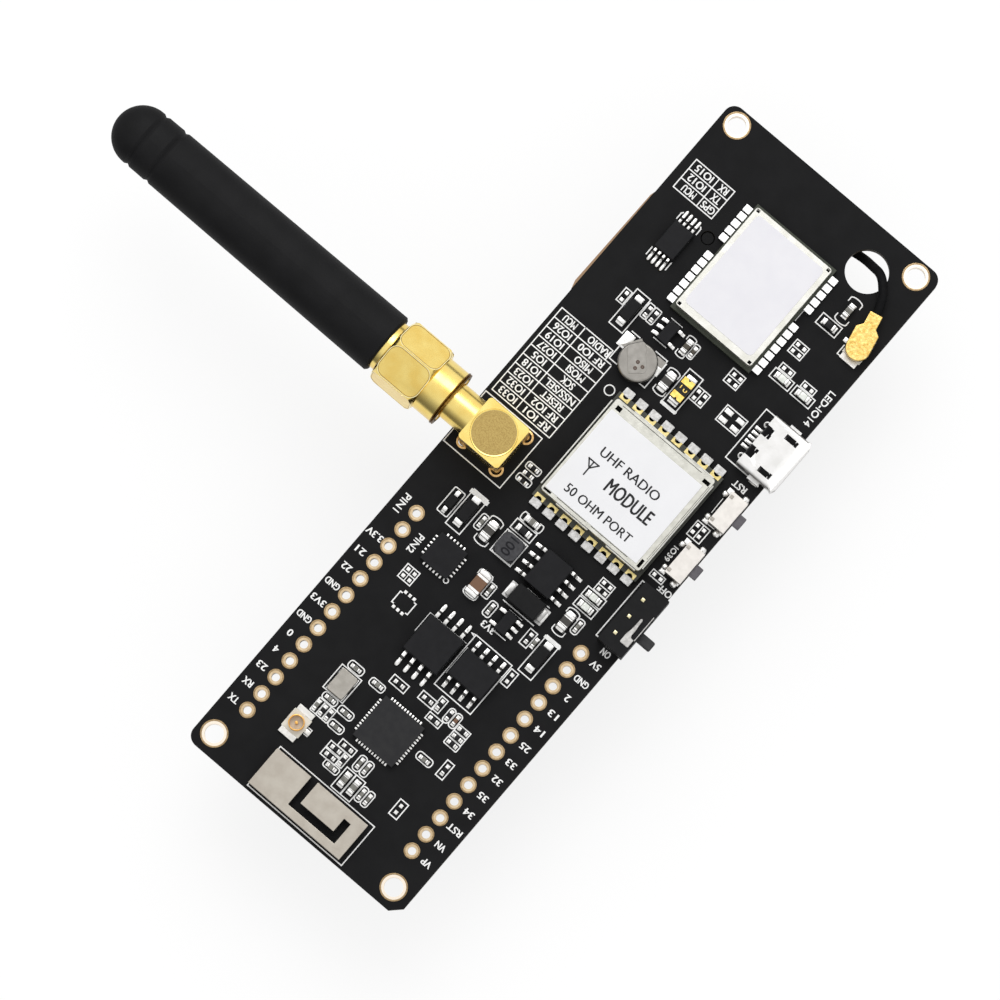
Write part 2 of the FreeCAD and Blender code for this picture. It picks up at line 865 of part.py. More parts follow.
def coin_cell_strips():
    """Upper strip to the left pad and lower strip to the right pad."""
    t = strip_t
    far = strip_foot_x - strip_foot_l / 2
    near = cell_x + strip_weld_reach
    y0 = cell_y + strip_shift
    upper = [
        (near, y0, cell_high), (near, y0, cell_high + t), (strip_foot_x + t, y0, cell_high + t),
        (strip_foot_x + t, y0, seat_z + t), (far, y0, seat_z + t), (far, y0, seat_z),
        (strip_foot_x, y0, seat_z), (strip_foot_x + 2 * t, y0, seat_z),
        (strip_foot_x + 2 * t, y0, cell_high),
    ]
    upper_strip = prism(upper, vec(0, strip_w, 0))
    left, right = cell_x - strip_low_reach, strip_low_foot_x + strip_foot_l / 2
    lower_strip = block(left, right, y0, y0 + strip_w, seat_z, cell_low)
    return [upper_strip, lower_strip]


def coin_cell_pads():
    y = cell_y + strip_shift + strip_w / 2
    length = strip_foot_l + pad_reach
    return [block_at(x, y, length, strip_w, board_t, seat_z) for x in (strip_foot_x, strip_low_foot_x)]


def tinned_pads():
    pads = []
    for row in capacitors + resistors + leds:
        pads += two_ended_pads(*row)
    for place in bare_places:
        pads += bare_pads(*place)
    for i in (-1, 0, 1):
        for s in (-1, 1):
            px, py = six_pad_x + i * six_pad_pitch, six_pad_y + s * six_pad_gap_y / 2
            pads.append(block_at(px, py, six_pad_w, six_pad_w, board_t, seat_z))
    for sx in (-1, 1):
        for sy in (-1, 1):
            px, py = four_pad_x + sx * four_pad_gap_x / 2, four_pad_y + sy * four_pad_gap_y / 2
            pads.append(block_at(px, py, four_pad_l, four_pad_w, board_t, seat_z))
    for shape in leaded_shapes():
        pads += lead_pads(shape)
    for shape in (processor_shape, usb_bridge_shape):
        pads += leadless_pads(shape)
    for shape in [power_diode_shape, tantalum_shape()] + small_diode_shapes:
        pads += diode_pads(shape)
    pads += crystal_pads() + inductor_pads() + coin_cell_pads() + usb_pads() + button_pads()
    return pads


radio_low = board_t + radio_lift
radio_high = radio_low + radio_t


def radio_pad_places():
    """Centre along X, edge along Y and side of each land on the module."""
    first = radio_x - (radio_pad_count - 1) / 2 * radio_pitch
    places = []
    for side in (-1, 1):
        edge = radio_y + side * radio_side / 2
        places += [(first + i * radio_pitch, edge, side) for i in range(radio_pad_count)]
    return places


def radio_board():
    board = block_at(radio_x, radio_y, radio_side, radio_side, radio_low, radio_high)
    places = radio_pad_places()
    return board.cut([rod(x, y, radio_notch_r, radio_low, radio_high) for x, y, side in places])


def radio_edge_pads():
    """Gold lands on the module's edge, each with a half-round notch."""
    pads = []
    low, high = radio_high, radio_high + ring_t
    for x, edge, side in radio_pad_places():
        land = block_at(x, edge - side * radio_pad_in / 2, radio_pad_w, radio_pad_in, low, high)
        pads.append(land.cut(rod(x, edge, radio_notch_r, low - cut_over, high + cut_over)))
    return pads


def solder_wedge(x, y, width, reach, height, angle):
    """Sloping solder between an edge pad and the board's pad, pointing along an angle."""
    toe, crest = height * solder_toe_share, reach * solder_crest_share
    profile = [(0, 0, 0), (reach, 0, 0), (reach, 0, toe), (crest, 0, height), (0, 0, height)]
    wedge = prism(profile, vec(0, width, 0))
    wedge.translate(vec(0, -width / 2, 0))
    return turned_to(wedge, x, y, board_t, angle)


def receiver_pad_rows():
    """Place along Y of each pad on one side of the receiver."""
    rows = []
    for start, count in zip((receiver_upper_row, receiver_lower_row), receiver_pad_counts):
        rows += [receiver_y + start - i * receiver_pad_pitch for i in range(count)]
    return rows


def module_solder():
    joints = []
    for x, edge, side in radio_pad_places():
        angle = side_angle("y", side)
        joints.append(solder_wedge(x, edge, radio_pad_w, radio_solder_out, radio_solder_h, angle))
    size = (receiver_pad_w, receiver_pad_out, receiver_solder_h)
    for side in (-1, 1):
        edge = receiver_x + side * receiver_w / 2
        angle = side_angle("x", side)
        joints += [solder_wedge(edge, y, *size, angle) for y in receiver_pad_rows()]
    return joints


def open_can(x, y, w, l, z0, z1, wall):
    """Folded sheet cover, open below."""
    outer = rounded_plate(x, y, w, l, z0, z1, shield_corner_r)
    inner = block_at(x, y, w - 2 * wall, l - 2 * wall, z0, z1 - wall)
    return outer.cut(inner)


def radio_shield():
    top = radio_high + shield_h
    return open_can(radio_x, radio_y, shield_l, shield_w, radio_high, top, shield_wall)


def radio_label():
    z = radio_high + shield_h
    return block_at(radio_x + label_shift_x, radio_y + label_shift_y, label_w, label_l, z, z + label_t)


def receiver_board():
    return block_at(receiver_x, receiver_y, receiver_w, receiver_l, board_t, board_t + receiver_t)


def receiver_can():
    x, y, w, l = receiver_x, receiver_y, receiver_can_w, receiver_can_l
    return open_can(x, y, w, l, board_t + receiver_t, board_t + receiver_h, receiver_can_wall)


def receiver_label():
    z = board_t + receiver_h
    w, l, t = receiver_label_w, receiver_label_l, receiver_label_t
    return block_at(receiver_x, receiver_y, w, l, z, z + t)


def shielded_chips():
    """What works under the two covers: radio chip, its crystal and the receiver chip."""
    crystal_x0, receiver_high = radio_x + radio_crystal_dx, board_t + receiver_t
    sizes = [
        (radio_x, radio_y, radio_chip_side, radio_chip_side, radio_high, radio_chip_h),
        (crystal_x0, radio_y, radio_crystal_w, radio_crystal_l, radio_high, radio_crystal_h),
        (receiver_x, receiver_y, receiver_chip_side, receiver_chip_side, receiver_high, receiver_chip_h),
    ]
    return [block_at(x, y, w, l, z, z + h) for x, y, w, l, z, h in sizes]


usb_mouth_x = board_right + usb_out
usb_rear_x = usb_mouth_x - usb_depth


def usb_section(x, grow, wall):
    """Closed outline of the socket's shell in the plane across its depth."""
    half = usb_w / 2 + grow - wall
    low = board_t - grow + wall
    high = board_t + usb_h + grow - wall
    cut = usb_corner - wall / 2
    corners = [
        (x, usb_y - half + cut, low), (x, usb_y + half - cut, low), (x, usb_y + half, low + cut),
        (x, usb_y + half, high), (x, usb_y - half, high), (x, usb_y - half, low + cut),
    ]
    points = [vec(*c) for c in corners]
    return Part.makePolygon(points + points[:1])


usb_floor_x = usb_rear_x + usb_rear_t
usb_tongue_z = board_t + usb_tongue_up


def usb_tube(wall):
    """Outer form of the shell, or its inner form at a wall's depth: straight, then flared."""
    straight = usb_mouth_x - usb_flare_l
    tube = Part.Face(usb_section(usb_rear_x, 0, wall)).extrude(vec(straight - usb_rear_x, 0, 0))
    ends = [usb_section(straight, 0, wall), usb_section(usb_mouth_x, usb_flare, wall)]
    return tube, Part.makeLoft(ends, True, True)


def usb_shell():
    outer, flare = usb_tube(0)
    inner, flare_in = usb_tube(usb_wall)
    shell = outer.fuse(flare).cut([inner, flare_in])
    top = board_t + usb_h
    low, high = top - 2 * usb_wall, top + cut_over
    front_x, rear_x = usb_rear_x + usb_slot_back, usb_rear_x + usb_slot_w / 2
    ear_x, ear_top = board_right - usb_ear_inset, board_t + usb_corner + usb_wall
    ear_in, ear_out = usb_w / 2 - usb_wall, usb_w / 2 + usb_ear_out
    slots, ears = [], []
    for s in (-1, 1):
        front_y, rear_y = usb_y + s * usb_slot_gap_y / 2, usb_y + s * usb_rear_slot_gap_y / 2
        slots.append(block_at(front_x, front_y, usb_slot_l, usb_slot_w, low, high))
        slots.append(block_at(rear_x, rear_y, usb_slot_w, usb_slot_l, low, high))
        ear_y = usb_y + s * (ear_in + ear_out) / 2
        ears.append(block_at(ear_x, ear_y, usb_ear_l, ear_out - ear_in, board_t, ear_top))
    return shell.cut(slots).fuse(ears).removeSplitter()


def usb_tongue():
    """Plastic rear wall with the tongue that carries the strips."""
    low, high = board_t + usb_wall + usb_seat_gap, board_t + usb_h - usb_wall - usb_seat_gap
    rear_w = usb_w - 2 * (usb_wall + usb_seat_gap + usb_corner)
    rear = block_at(usb_rear_x + usb_rear_t / 2, usb_y, usb_rear_t, rear_w, low, high)
    low, high = usb_tongue_z, usb_tongue_z + usb_tongue_t
    tongue = block_at(usb_floor_x + usb_tongue_l / 2, usb_y, usb_tongue_l, usb_tongue_w, low, high)
    return rear.fuse(tongue).removeSplitter()


def usb_pin_rows():
    first = usb_y - (usb_pin_count - 1) / 2 * usb_pin_pitch
    return [first + i * usb_pin_pitch for i in range(usb_pin_count)]


def usb_contacts():
    """Strips under the tongue, and the pins that come out of the rear onto the board."""
    strips = []
    low, high = usb_tongue_z - usb_strip_t, usb_tongue_z
    pin_x = usb_rear_x - usb_pin_reach / 2
    for y in usb_pin_rows():
        strips.append(block_at(usb_floor_x + usb_strip_l / 2, y, usb_strip_l, usb_pin_w, low, high))
        strips.append(block_at(pin_x, y, usb_pin_reach, usb_pin_w, seat_z, seat_z + usb_pin_t))
    return strips


def usb_pads():
    x0, x1 = usb_rear_x - usb_pin_reach - pad_reach, usb_rear_x - usb_pad_gap
    half = usb_pad_w / 2
    return [block(x0, x1, y - half, y + half, board_t, seat_z) for y in usb_pin_rows()]


case_front_x = board_right - button_edge_gap
case_back_x = case_front_x - button_case_w


def button_case(y):
    """Push button's housing: a closed box with a chamber and a front window for the plunger."""
    half = button_case_l / 2
    case = block(case_back_x, case_front_x, y - half, y + half, seat_z, seat_z + button_case_h)
    mid = seat_z + button_case_h / 2
    w = plunger_w / 2 + plunger_gap
    h = plunger_h / 2 + plunger_gap
    window = block(case_front_x - button_case_wall, case_front_x, y - w, y + w, mid - h, mid + h)
    cw = w + plunger_collar
    chamber_back = case_front_x - button_case_wall - plunger_in - plunger_travel
    ch = h + plunger_gap
    chamber = block(chamber_back, case_front_x - button_case_wall, y - cw, y + cw, mid - ch, mid + ch)
    return case.cut([window, chamber])


def button_pads():
    pads = []
    dy = button_case_l / 2 - button_foot_in
    for x in (case_back_x - button_foot_back, case_front_x - button_foot_front):
        for y in (button_reset_y - dy, button_reset_y + dy, button_user_y - dy, button_user_y + dy):
            pads.append(block_at(x, y, button_foot_w, button_foot_w, board_t, seat_z))
    return pads


def button_plunger(y):
    """Stem through the window, with a collar behind it that keeps it in."""
    mid = seat_z + button_case_h / 2
    inner_face = case_front_x - button_case_wall
    back, seat = inner_face - plunger_in + plunger_gap, inner_face - plunger_gap
    low, high = mid - plunger_h / 2, mid + plunger_h / 2
    half, collar_half = plunger_w / 2, plunger_w / 2 + plunger_collar - plunger_gap
    stem = block(seat, case_front_x + plunger_out, y - half, y + half, low, high)
    collar = block(back, seat, y - collar_half, y + collar_half, low, high)
    return stem.fuse(collar).removeSplitter()


def switch_body():
    """Plastic base and walls of the slide switch, open in front for the knob."""
    x = (switch_back_x + switch_front_x) / 2
    body = block_at(x, switch_y, switch_w, switch_l, board_t, switch_top)
    mid = board_t + switch_h / 2
    travel_low = switch_y + knob_rest_shift - knob_w / 2 - knob_gap
    travel_high = switch_y + knob_rest_shift + knob_travel + knob_w / 2 + knob_gap
    h = knob_h / 2 + knob_gap
    slot = block(switch_front_x - switch_wall, switch_front_x, travel_low, travel_high, mid - h, mid + h)
    chamber = block(
        switch_chamber_x, switch_front_x - switch_wall, travel_low - knob_collar, travel_high + knob_collar,
        mid - h - knob_gap, mid + h + knob_gap,
    )
    return body.cut([slot, chamber] + switch_pin_bars(board_t, switch_top))


def switch_pin_bars(low, high):
    side = switch_pin_w
    return [block_at(x, y, side, side, low, high) for x, y in switch_pin_points()]


def switch_pins():
    return switch_pin_bars(-switch_pin_down, switch_top + switch_pin_up)


def switch_frame():
    """Bent steel cover on top of the body, with a notch over the knob's slot."""
    z0, z1 = switch_top, switch_top + switch_frame_t
    x1 = switch_front_x - switch_wall / 2
    x0 = x1 - switch_frame_w
    low, high = switch_y - switch_frame_low, switch_y + switch_frame_high
    plate = block(x0, x1, low, high, z0, z1)
    notch_x, notch_y = x0 + switch_frame_arm, low + switch_frame_foot
    over = cut_over
    return plate.cut(block(notch_x, x1 + over, notch_y, high + over, z0 - over, z1 + over))


def switch_knob():
    mid = board_t + switch_h / 2
    y = switch_y + knob_rest_shift
    back = switch_front_x - switch_wall - knob_gap
    low, high = mid - knob_h / 2, mid + knob_h / 2
    half, foot_half = knob_w / 2, knob_w / 2 + knob_collar - knob_gap
    stem = block(back, switch_front_x + knob_out, y - half, y + half, low, high)
    foot = block(switch_chamber_x + knob_gap, back, y - foot_half, y + foot_half, low, high)
    return stem.fuse(foot).removeSplitter()


block_left_x = connector_x - block_side / 2
well_r = cap_r - cap_ledge
cap_floor_z = axis_z + barrel_bore_r + cap_floor_gap
neck_end_x = block_left_x - neck_l
barrel_end_x = neck_end_x - thread_l


def connector_body():
    """Square block with four legs, a neck and the threaded barrel, one machined piece."""
    top = board_t + block_h
    body = rounded_plate(connector_x, connector_y, block_side, block_side, board_t, top, block_corner)
    legs = [rod(x, y, leg_r, board_t - leg_l, board_t) for x, y in leg_points()]
    neck = rod_along_x(neck_end_x, connector_x, connector_y, axis_z, neck_r)
    thread = rod_along_x(barrel_end_x, neck_end_x, connector_y, axis_z, thread_r)
    body = body.fuse(legs + [neck, thread])
    bore = rod_along_x(barrel_end_x, connector_x, connector_y, axis_z, barrel_bore_r)
    well = rod(connector_x, connector_y, well_r, board_t, top)
    seat = rod(connector_x, connector_y, cap_r, cap_floor_z, top)
    return body.cut([bore, well, seat]).removeSplitter()


def connector_cap():
    """Round cover pressed into the top of the block."""
    top = board_t + block_h
    return rod(connector_x, connector_y, cap_r, cap_floor_z, top + cap_proud)


def contact_rod(low):
    """Solid form of the inner contact: along the barrel, then down to a height."""
    along = rod_along_x(barrel_end_x, connector_x + contact_r, connector_y, axis_z, contact_r)
    return along.fuse(rod(connector_x, connector_y, leg_r, low, axis_z))


def connector_insulator():
    """White insulator: a plug in the block's well and a sleeve along the barrel."""
    plug = rod(connector_x, connector_y, well_r, board_t, cap_floor_z)
    tube = rod_along_x(barrel_end_x, connector_x, connector_y, axis_z, barrel_bore_r)
    return plug.fuse(tube).cut(contact_rod(board_t)).removeSplitter()


def connector_contact():
    """Bent inner contact, hollow at the mouth for the antenna's pin."""
    bore_end_x = barrel_end_x + pin_reach + pin_end_gap
    bore = rod_along_x(barrel_end_x, bore_end_x, connector_y, axis_z, contact_bore_r)
    return contact_rod(board_t - leg_l).cut(bore).removeSplitter()


nut_front_x = neck_end_x + nut_overlap
nut_hex_front_x = nut_front_x - nut_chamfer - nut_collar_l
nut_back_x = nut_hex_front_x - nut_hex_l


def antenna_nut():
    """Hexagon coupling nut with a round collar, free to turn on the ferrule."""
    r = nut_flats / 2 / math.cos(math.radians(30))
    corners = []
    for i in range(6):
        angle = math.radians(nut_turn_at_rest + 60 * i)
        corners.append((nut_back_x, connector_y + r * math.sin(angle), axis_z + r * math.cos(angle)))
    hexagon = prism(corners, vec(nut_hex_l, 0, 0))
    end_r, over_r = nut_flats / 2 - nut_cone_drop, r + nut_cone_over
    cone = turned(
        [
            (0, 0), (0, end_r), (nut_cone, over_r), (nut_hex_l - nut_cone, over_r),
            (nut_hex_l, end_r), (nut_hex_l, 0),
        ],
        nut_back_x, connector_y, axis_z, vec(1, 0, 0),
    )
    collar_end = nut_collar_l + nut_chamfer
    collar = turned(
        [
            (0, 0), (0, nut_collar_r), (nut_collar_l, nut_collar_r),
            (collar_end, nut_collar_r - nut_chamfer_drop), (collar_end, 0),
        ],
        nut_hex_front_x, connector_y, axis_z, vec(1, 0, 0),
    )
    nut = hexagon.common(cone).fuse(collar)
    inner_wall_x = nut_back_x + nut_back_wall
    thread_bore_r, neck_bore_r = thread_r + nut_thread_play, ferrule_neck_r + ferrule_play
    thread_bore = rod_along_x(inner_wall_x, nut_front_x, connector_y, axis_z, thread_bore_r)
    neck_bore = rod_along_x(nut_back_x, inner_wall_x, connector_y, axis_z, neck_bore_r)
    return nut.cut([thread_bore, neck_bore]).removeSplitter()


ferrule_face_x = barrel_end_x - ferrule_face_gap
ring_front_x = nut_back_x - nut_gap
ring_back_x = ring_front_x - ferrule_ring_l


def antenna_ferrule():
    """Turned piece that the nut rides on: flange, neck, outer ring and a shank in the sleeve."""
    length = ferrule_face_x - ring_back_x + ferrule_shank_l
    shank_end = length
    ring_end = length - ferrule_shank_l
    ring_start = ring_end - ferrule_ring_l
    return turned(
        [
            (0, ferrule_bore_r), (0, ferrule_flange_r), (ferrule_flange_l, ferrule_flange_r),
            (ferrule_flange_l, ferrule_neck_r), (ring_start, ferrule_neck_r), (ring_start, ferrule_ring_r),
            (ring_end, ferrule_ring_r), (ring_end, ferrule_shank_r), (shank_end, ferrule_shank_r),
            (shank_end, ferrule_bore_r),
        ],
        ferrule_face_x, connector_y, axis_z, vec(-1, 0, 0),
    )


shank_end_x = ring_back_x - ferrule_shank_l


def antenna_insulator():
    core = rod_along_x(shank_end_x, ferrule_face_x, connector_y, axis_z, ferrule_bore_r)
    return core.cut(rod_along_x(shank_end_x, ferrule_face_x, connector_y, axis_z, pin_r))


def antenna_pin():
    tail = shank_end_x - coil_play
    return rod_along_x(tail, barrel_end_x + pin_reach, connector_y, axis_z, pin_r)


def sleeve_radius(distance):
    """Radius of the tapering sleeve at a distance from its open end."""
    return sleeve_base_r + (sleeve_tip_r - sleeve_base_r) * distance / (sleeve_l - sleeve_tip_r)


def antenna_sleeve():
    """Moulded rubber sleeve: slightly tapered, two grooves near a domed tip."""
    dome_start = sleeve_l - sleeve_tip_r
    points = [(0, sleeve_radius(0) - sleeve_edge), (sleeve_edge, sleeve_radius(0))]
    for place in (groove_second, groove_first):
        middle = sleeve_l - place
        points += [
            (middle - groove_w / 2, sleeve_radius(middle)),
            (middle, sleeve_radius(middle) - groove_depth),
            (middle + groove_w / 2, sleeve_radius(middle)),
        ]
    corners = [vec(a, 0, r) for a, r in points]
    edges = [Part.LineSegment(p, q).toShape() for p, q in zip(corners, corners[1:])]
    shoulder = vec(dome_start, 0, sleeve_tip_r)
    edges.append(Part.LineSegment(corners[-1], shoulder).toShape())
    bend = math.radians(45)
    middle = vec(dome_start + sleeve_tip_r * math.sin(bend), 0, sleeve_tip_r * math.cos(bend))
    tip = vec(sleeve_l, 0, 0)
    edges.append(Part.Arc(shoulder, middle, tip).toShape())
    cavity_end = sleeve_l - sleeve_wall_end - sleeve_tip_r
    cavity_r = coil_r + coil_wire_r + coil_play
    inner = [
        vec(cavity_end, 0, 0), vec(cavity_end, 0, cavity_r), vec(ferrule_shank_l, 0, cavity_r),
        vec(ferrule_shank_l, 0, ferrule_shank_r), vec(0, 0, ferrule_shank_r), corners[0],
    ]
    chain = [tip] + inner
    edges += [Part.LineSegment(p, q).toShape() for p, q in zip(chain, chain[1:])]
    sleeve = Part.Face(Part.Wire(edges)).revolve(vec(0, 0, 0), vec(1, 0, 0), 360)
    turn = FreeCAD.Rotation(vec(0, 0, 1), 180)
    sleeve.Placement = FreeCAD.Placement(vec(ring_back_x, connector_y, axis_z), turn)
    return sleeve


def antenna_coil():
    """Helical wire inside the sleeve, closed by a short bar to the pin."""
    helix = Part.makeHelix(coil_l / coil_turns, coil_l, coil_r)
    profile = Part.Wire(Part.makeCircle(coil_wire_r, vec(coil_r, 0, 0), vec(0, 1, 0)))
    coil = Part.Wire(helix).makePipeShell([profile], True, True)
    turn = FreeCAD.Rotation(vec(0, 0, 1), vec(-1, 0, 0))
    start = shank_end_x - coil_play - coil_wire_r - coil_start_gap
    coil.Placement = FreeCAD.Placement(vec(start, connector_y, axis_z), turn)
    return coil


def coax_socket(x, y, turn):
    """Metal ring with two ground lugs and a centre pin."""
    low, high = seat_z + socket_base_h, seat_z + socket_h
    ring = rod(0, 0, socket_ring_r, low, high)
    ring = ring.cut(rod(0, 0, socket_ring_r - socket_ring_wall, low, high))
    pin = rod(0, 0, socket_pin_r, low, high - socket_pin_low)
    out = (socket_side + socket_lug_l) / 2
    signal = block_at(out, 0, socket_lug_l, socket_signal_w, board_t, seat_z + socket_base_h / 2)
    lugs = [block_at(0, s * out, socket_lug_w, socket_lug_l, board_t, low) for s in (-1, 1)]
    return [turned_to(piece, x, y, 0, turn) for piece in [ring, pin, signal] + lugs]


def coax_sockets():
    return coax_socket(bare_socket_x, bare_socket_y, 0) + coax_socket(socket_x, socket_y, 180)


def socket_insulators():
    side, high = socket_side, seat_z + socket_base_h
    places = ((bare_socket_x, bare_socket_y), (socket_x, socket_y))
    return [block_at(x, y, side, side, board_t, high) for x, y in places]


def plug_axis(distance):
    """Point on the plug's axis, at a distance from its centre."""
    angle = math.radians(plug_turn)
    return socket_x - distance * math.sin(angle), socket_y + distance * math.cos(angle)


plug_low = board_t + plug_lift
plug_high = plug_low + plug_h
plug_neck_z = plug_high - plug_neck_h / 2
plug_neck_end = plug_body_l + plug_neck_l


def coax_plug():
    """Right-angle push-on plug: a round cup over the socket and a crimped neck."""
    cup = rod(0, 0, plug_r, plug_low, plug_high)
    shoulder, half = plug_body_l - plug_throat_l, plug_neck_w / 2
    body = block(-plug_r, plug_r, 0, shoulder, plug_low, plug_high)
    throat = [
        (-plug_r, shoulder, plug_low), (plug_r, shoulder, plug_low),
        (half, plug_body_l, plug_low), (-half, plug_body_l, plug_low),
    ]
    neck = block(-half, half, plug_body_l, plug_neck_end, plug_high - plug_neck_h, plug_high)
    plug = cup.fuse([body, prism(throat, vec(0, 0, plug_h)), neck])
    plug = plug.cut(rod(0, 0, plug_r - plug_wall, plug_low, plug_high - plug_wall))
    return turned_to(plug.removeSplitter(), socket_x, socket_y, 0, plug_turn)


def lead_points():
    start_x, start_y = plug_axis(plug_neck_end)
    start = (start_x, start_y, plug_neck_z)
    end = (patch_x + patch_side / 2, patch_y + patch_lead_shift, patch_lead_z)
    return [vec(*p) for p in [start] + lead_route + [end]]


def antenna_lead():
    """Black coax: straight runs joined by tangent arcs, plug to patch antenna."""
    points = lead_points()
    edges = []
    here = points[0]
    for before, corner, after in zip(points, points[1:], points[2:]):
        run_in, run_out = corner - before, after - corner
        turn = run_in.getAngle(run_out)
        trim = 0.45 * min(run_in.Length, run_out.Length)
        radius = trim / math.tan(turn / 2)
        print("lead bend radius", round(radius, 2))
        unit_in, unit_out = run_in.normalize(), run_out.normalize()
        enter = corner - unit_in * trim
        leave = corner + unit_out * trim
        inward = (unit_out - unit_in).normalize()
        centre_gap = radius / math.cos(turn / 2)
        middle = corner + inward * (centre_gap - radius)
        edges.append(Part.LineSegment(here, enter).toShape())
        edges.append(Part.Arc(enter, middle, leave).toShape())
        here = leave
    edges.append(Part.LineSegment(here, points[-1]).toShape())
    path = Part.Wire(edges)
    profile = Part.Wire(Part.makeCircle(lead_r, points[0], points[1] - points[0]))
    lead = path.makePipeShell([profile], True, True)
    share = lead.Volume / (math.pi * lead_r ** 2 * path.Length)
    print("lead length", round(path.Length, 2), "volume over section times length", round(share, 3))
    return lead.cut([coax_plug(), patch_antenna()])


def patch_antenna():
    return rounded_plate(patch_x, patch_y, patch_side, patch_side, -patch_h, 0, patch_corner_r)


def patch_foil():
    side = patch_side - 2 * patch_foil_inset
    face = -patch_h - patch_foil_t
    foil = rounded_plate(patch_x, patch_y, side, side, face, -patch_h, patch_foil_corner_r)
    return foil.fuse(rod(patch_x, patch_y - patch_feed_shift, patch_feed_r, face - patch_feed_h, face))


def stamped_antenna():
    """Sheet standing over the board on its folded lower edge and two legs, with a J-shaped slot."""
    x0, x1 = stamped_x - stamped_w / 2, stamped_x + stamped_w / 2
    y0 = board_low + stamped_edge
    y1 = y0 + stamped_l
    z0 = board_t + stamped_lift
    z1 = z0 + stamped_t
    sheet = block(x0, x1, y0, y1, z0, z1)
    low = y0 + stamped_slot_low
    upright = block(stamped_slot_x, stamped_slot_x + stamped_slot_w, low, y1, z0, z1)
    across = block(stamped_slot_x, stamped_slot_end, low, low + stamped_slot_w, z0, z1)
    hook = block(stamped_slot_end - stamped_slot_w, stamped_slot_end, low, y0 + stamped_slot_high, z0, z1)
    sheet = sheet.cut([upright, across, hook])
    fold = block(x0, x1, y0, y0 + stamped_t, board_t, z0)
    leg_right = stamped_slot_x
    feet = [
        block(leg_right - stamped_leg_w, leg_right, y1 - stamped_t, y1, board_t, z0),
        block(x0, x0 + stamped_leg_w, y1 - stamped_t, y1, board_t, z0),
    ]
    return sheet.fuse([fold] + feet).removeSplitter()


def battery_holder():
    """Moulded trough for one round cell, open downwards, with a peg through the board."""
    half = holder_w / 2
    shell = block(-half, half, holder_low_y, holder_high_y, -holder_h, 0)
    bay_w, bay_l = holder_w - 2 * holder_side, holder_l - 2 * holder_end
    bay = block_at(0, holder_y, bay_w, bay_l, -holder_h, -holder_floor)
    notch_w, notch_top = holder_w + 2 * cut_over, holder_notch_h - holder_h
    notches = block_at(0, holder_y, notch_w, holder_notch_l, -holder_h, notch_top)
    slot_half = contact_w / 2 + contact_play
    depth = contact_t + contact_play
    foot_low = contact_w / 2 - contact_foot_w - contact_play
    inner_low = holder_low_y + holder_end
    inner_high = holder_high_y - holder_end
    slots = [
        block(foot_low, slot_half, holder_low_y, inner_low, -depth, 0),
        block(foot_low, slot_half, inner_high, holder_high_y, -depth, 0),
        block(-slot_half, slot_half, inner_low, inner_low + depth, -holder_floor, 0),
        block(-slot_half, slot_half, inner_high - depth, inner_high, -holder_floor, 0),
    ]
    peg = rod(peg_x, peg_y, peg_r, 0, board_t - peg_short)
    return shell.cut([bay, notches] + slots).fuse(peg).removeSplitter()


def contact_foot_bar(y0, y1):
    """Narrow foot that passes through the holder's end wall and is soldered under the board."""
    half = contact_w / 2
    return block(half - contact_foot_w, half, y0, y1, -contact_t, 0)


def battery_contacts():
    """Flat contact with a bump at one end, folded spring contact at the other."""
    half = contact_w / 2
    t = contact_t
    low_wall = holder_low_y + holder_end
    high_wall = holder_high_y - holder_end
    plate = block(-half, half, high_wall - t, high_wall, -contact_up, 0)
    bump_centre = vec(0, high_wall - t - tab_bump_out, -tab_bump_down)
    bump = Part.makeCylinder(tab_bump_r, tab_bump_out, bump_centre, vec(0, 1, 0))
    high_foot = contact_foot_bar(high_wall, holder_high_y + contact_foot)
    bow = low_wall + spring_out
    tip, tip_z = low_wall + spring_tip_out, -holder_floor - spring_tip_drop
    side_view = [
        (low_wall, 0), (low_wall + t, 0), (low_wall + t, -contact_up + spring_fold),
        (bow, -spring_mid - spring_flat_in), (bow, -spring_mid + spring_flat_in), (tip, tip_z),
        (tip + t, tip_z + spring_tip_slant), (bow + t, -spring_mid + spring_flat_out),
        (bow + t, -spring_mid - spring_flat_out), (low_wall + t, -contact_up), (low_wall, -contact_up),
    ]
    spring = prism([(-half, y, z) for y, z in side_view], vec(contact_w, 0, 0))
    low_foot = contact_foot_bar(holder_low_y - contact_foot, low_wall)
    flat_contact = plate.fuse([bump, high_foot]).removeSplitter()
    return [flat_contact, spring.fuse(low_foot).removeSplitter()]


for make in (
    circuit_board, plated_eyelets, tinned_pads, component_ends, chip_leads, inductor,
    tantalum_capacitor, crystal, coin_cell, coin_cell_strips, radio_board, radio_edge_pads,
    module_solder, radio_shield, radio_label, receiver_board, receiver_can, receiver_label,
    shielded_chips, usb_shell, usb_tongue, usb_contacts, switch_body, switch_pins, switch_frame,
    switch_knob, connector_body, connector_cap, connector_insulator, connector_contact,
    antenna_nut, antenna_ferrule, antenna_insulator, antenna_pin, antenna_sleeve, antenna_coil,
    coax_sockets, socket_insulators, coax_plug, antenna_lead, patch_antenna, patch_foil,
    stamped_antenna, battery_holder, battery_contacts,
):
    save(make.__name__, make())

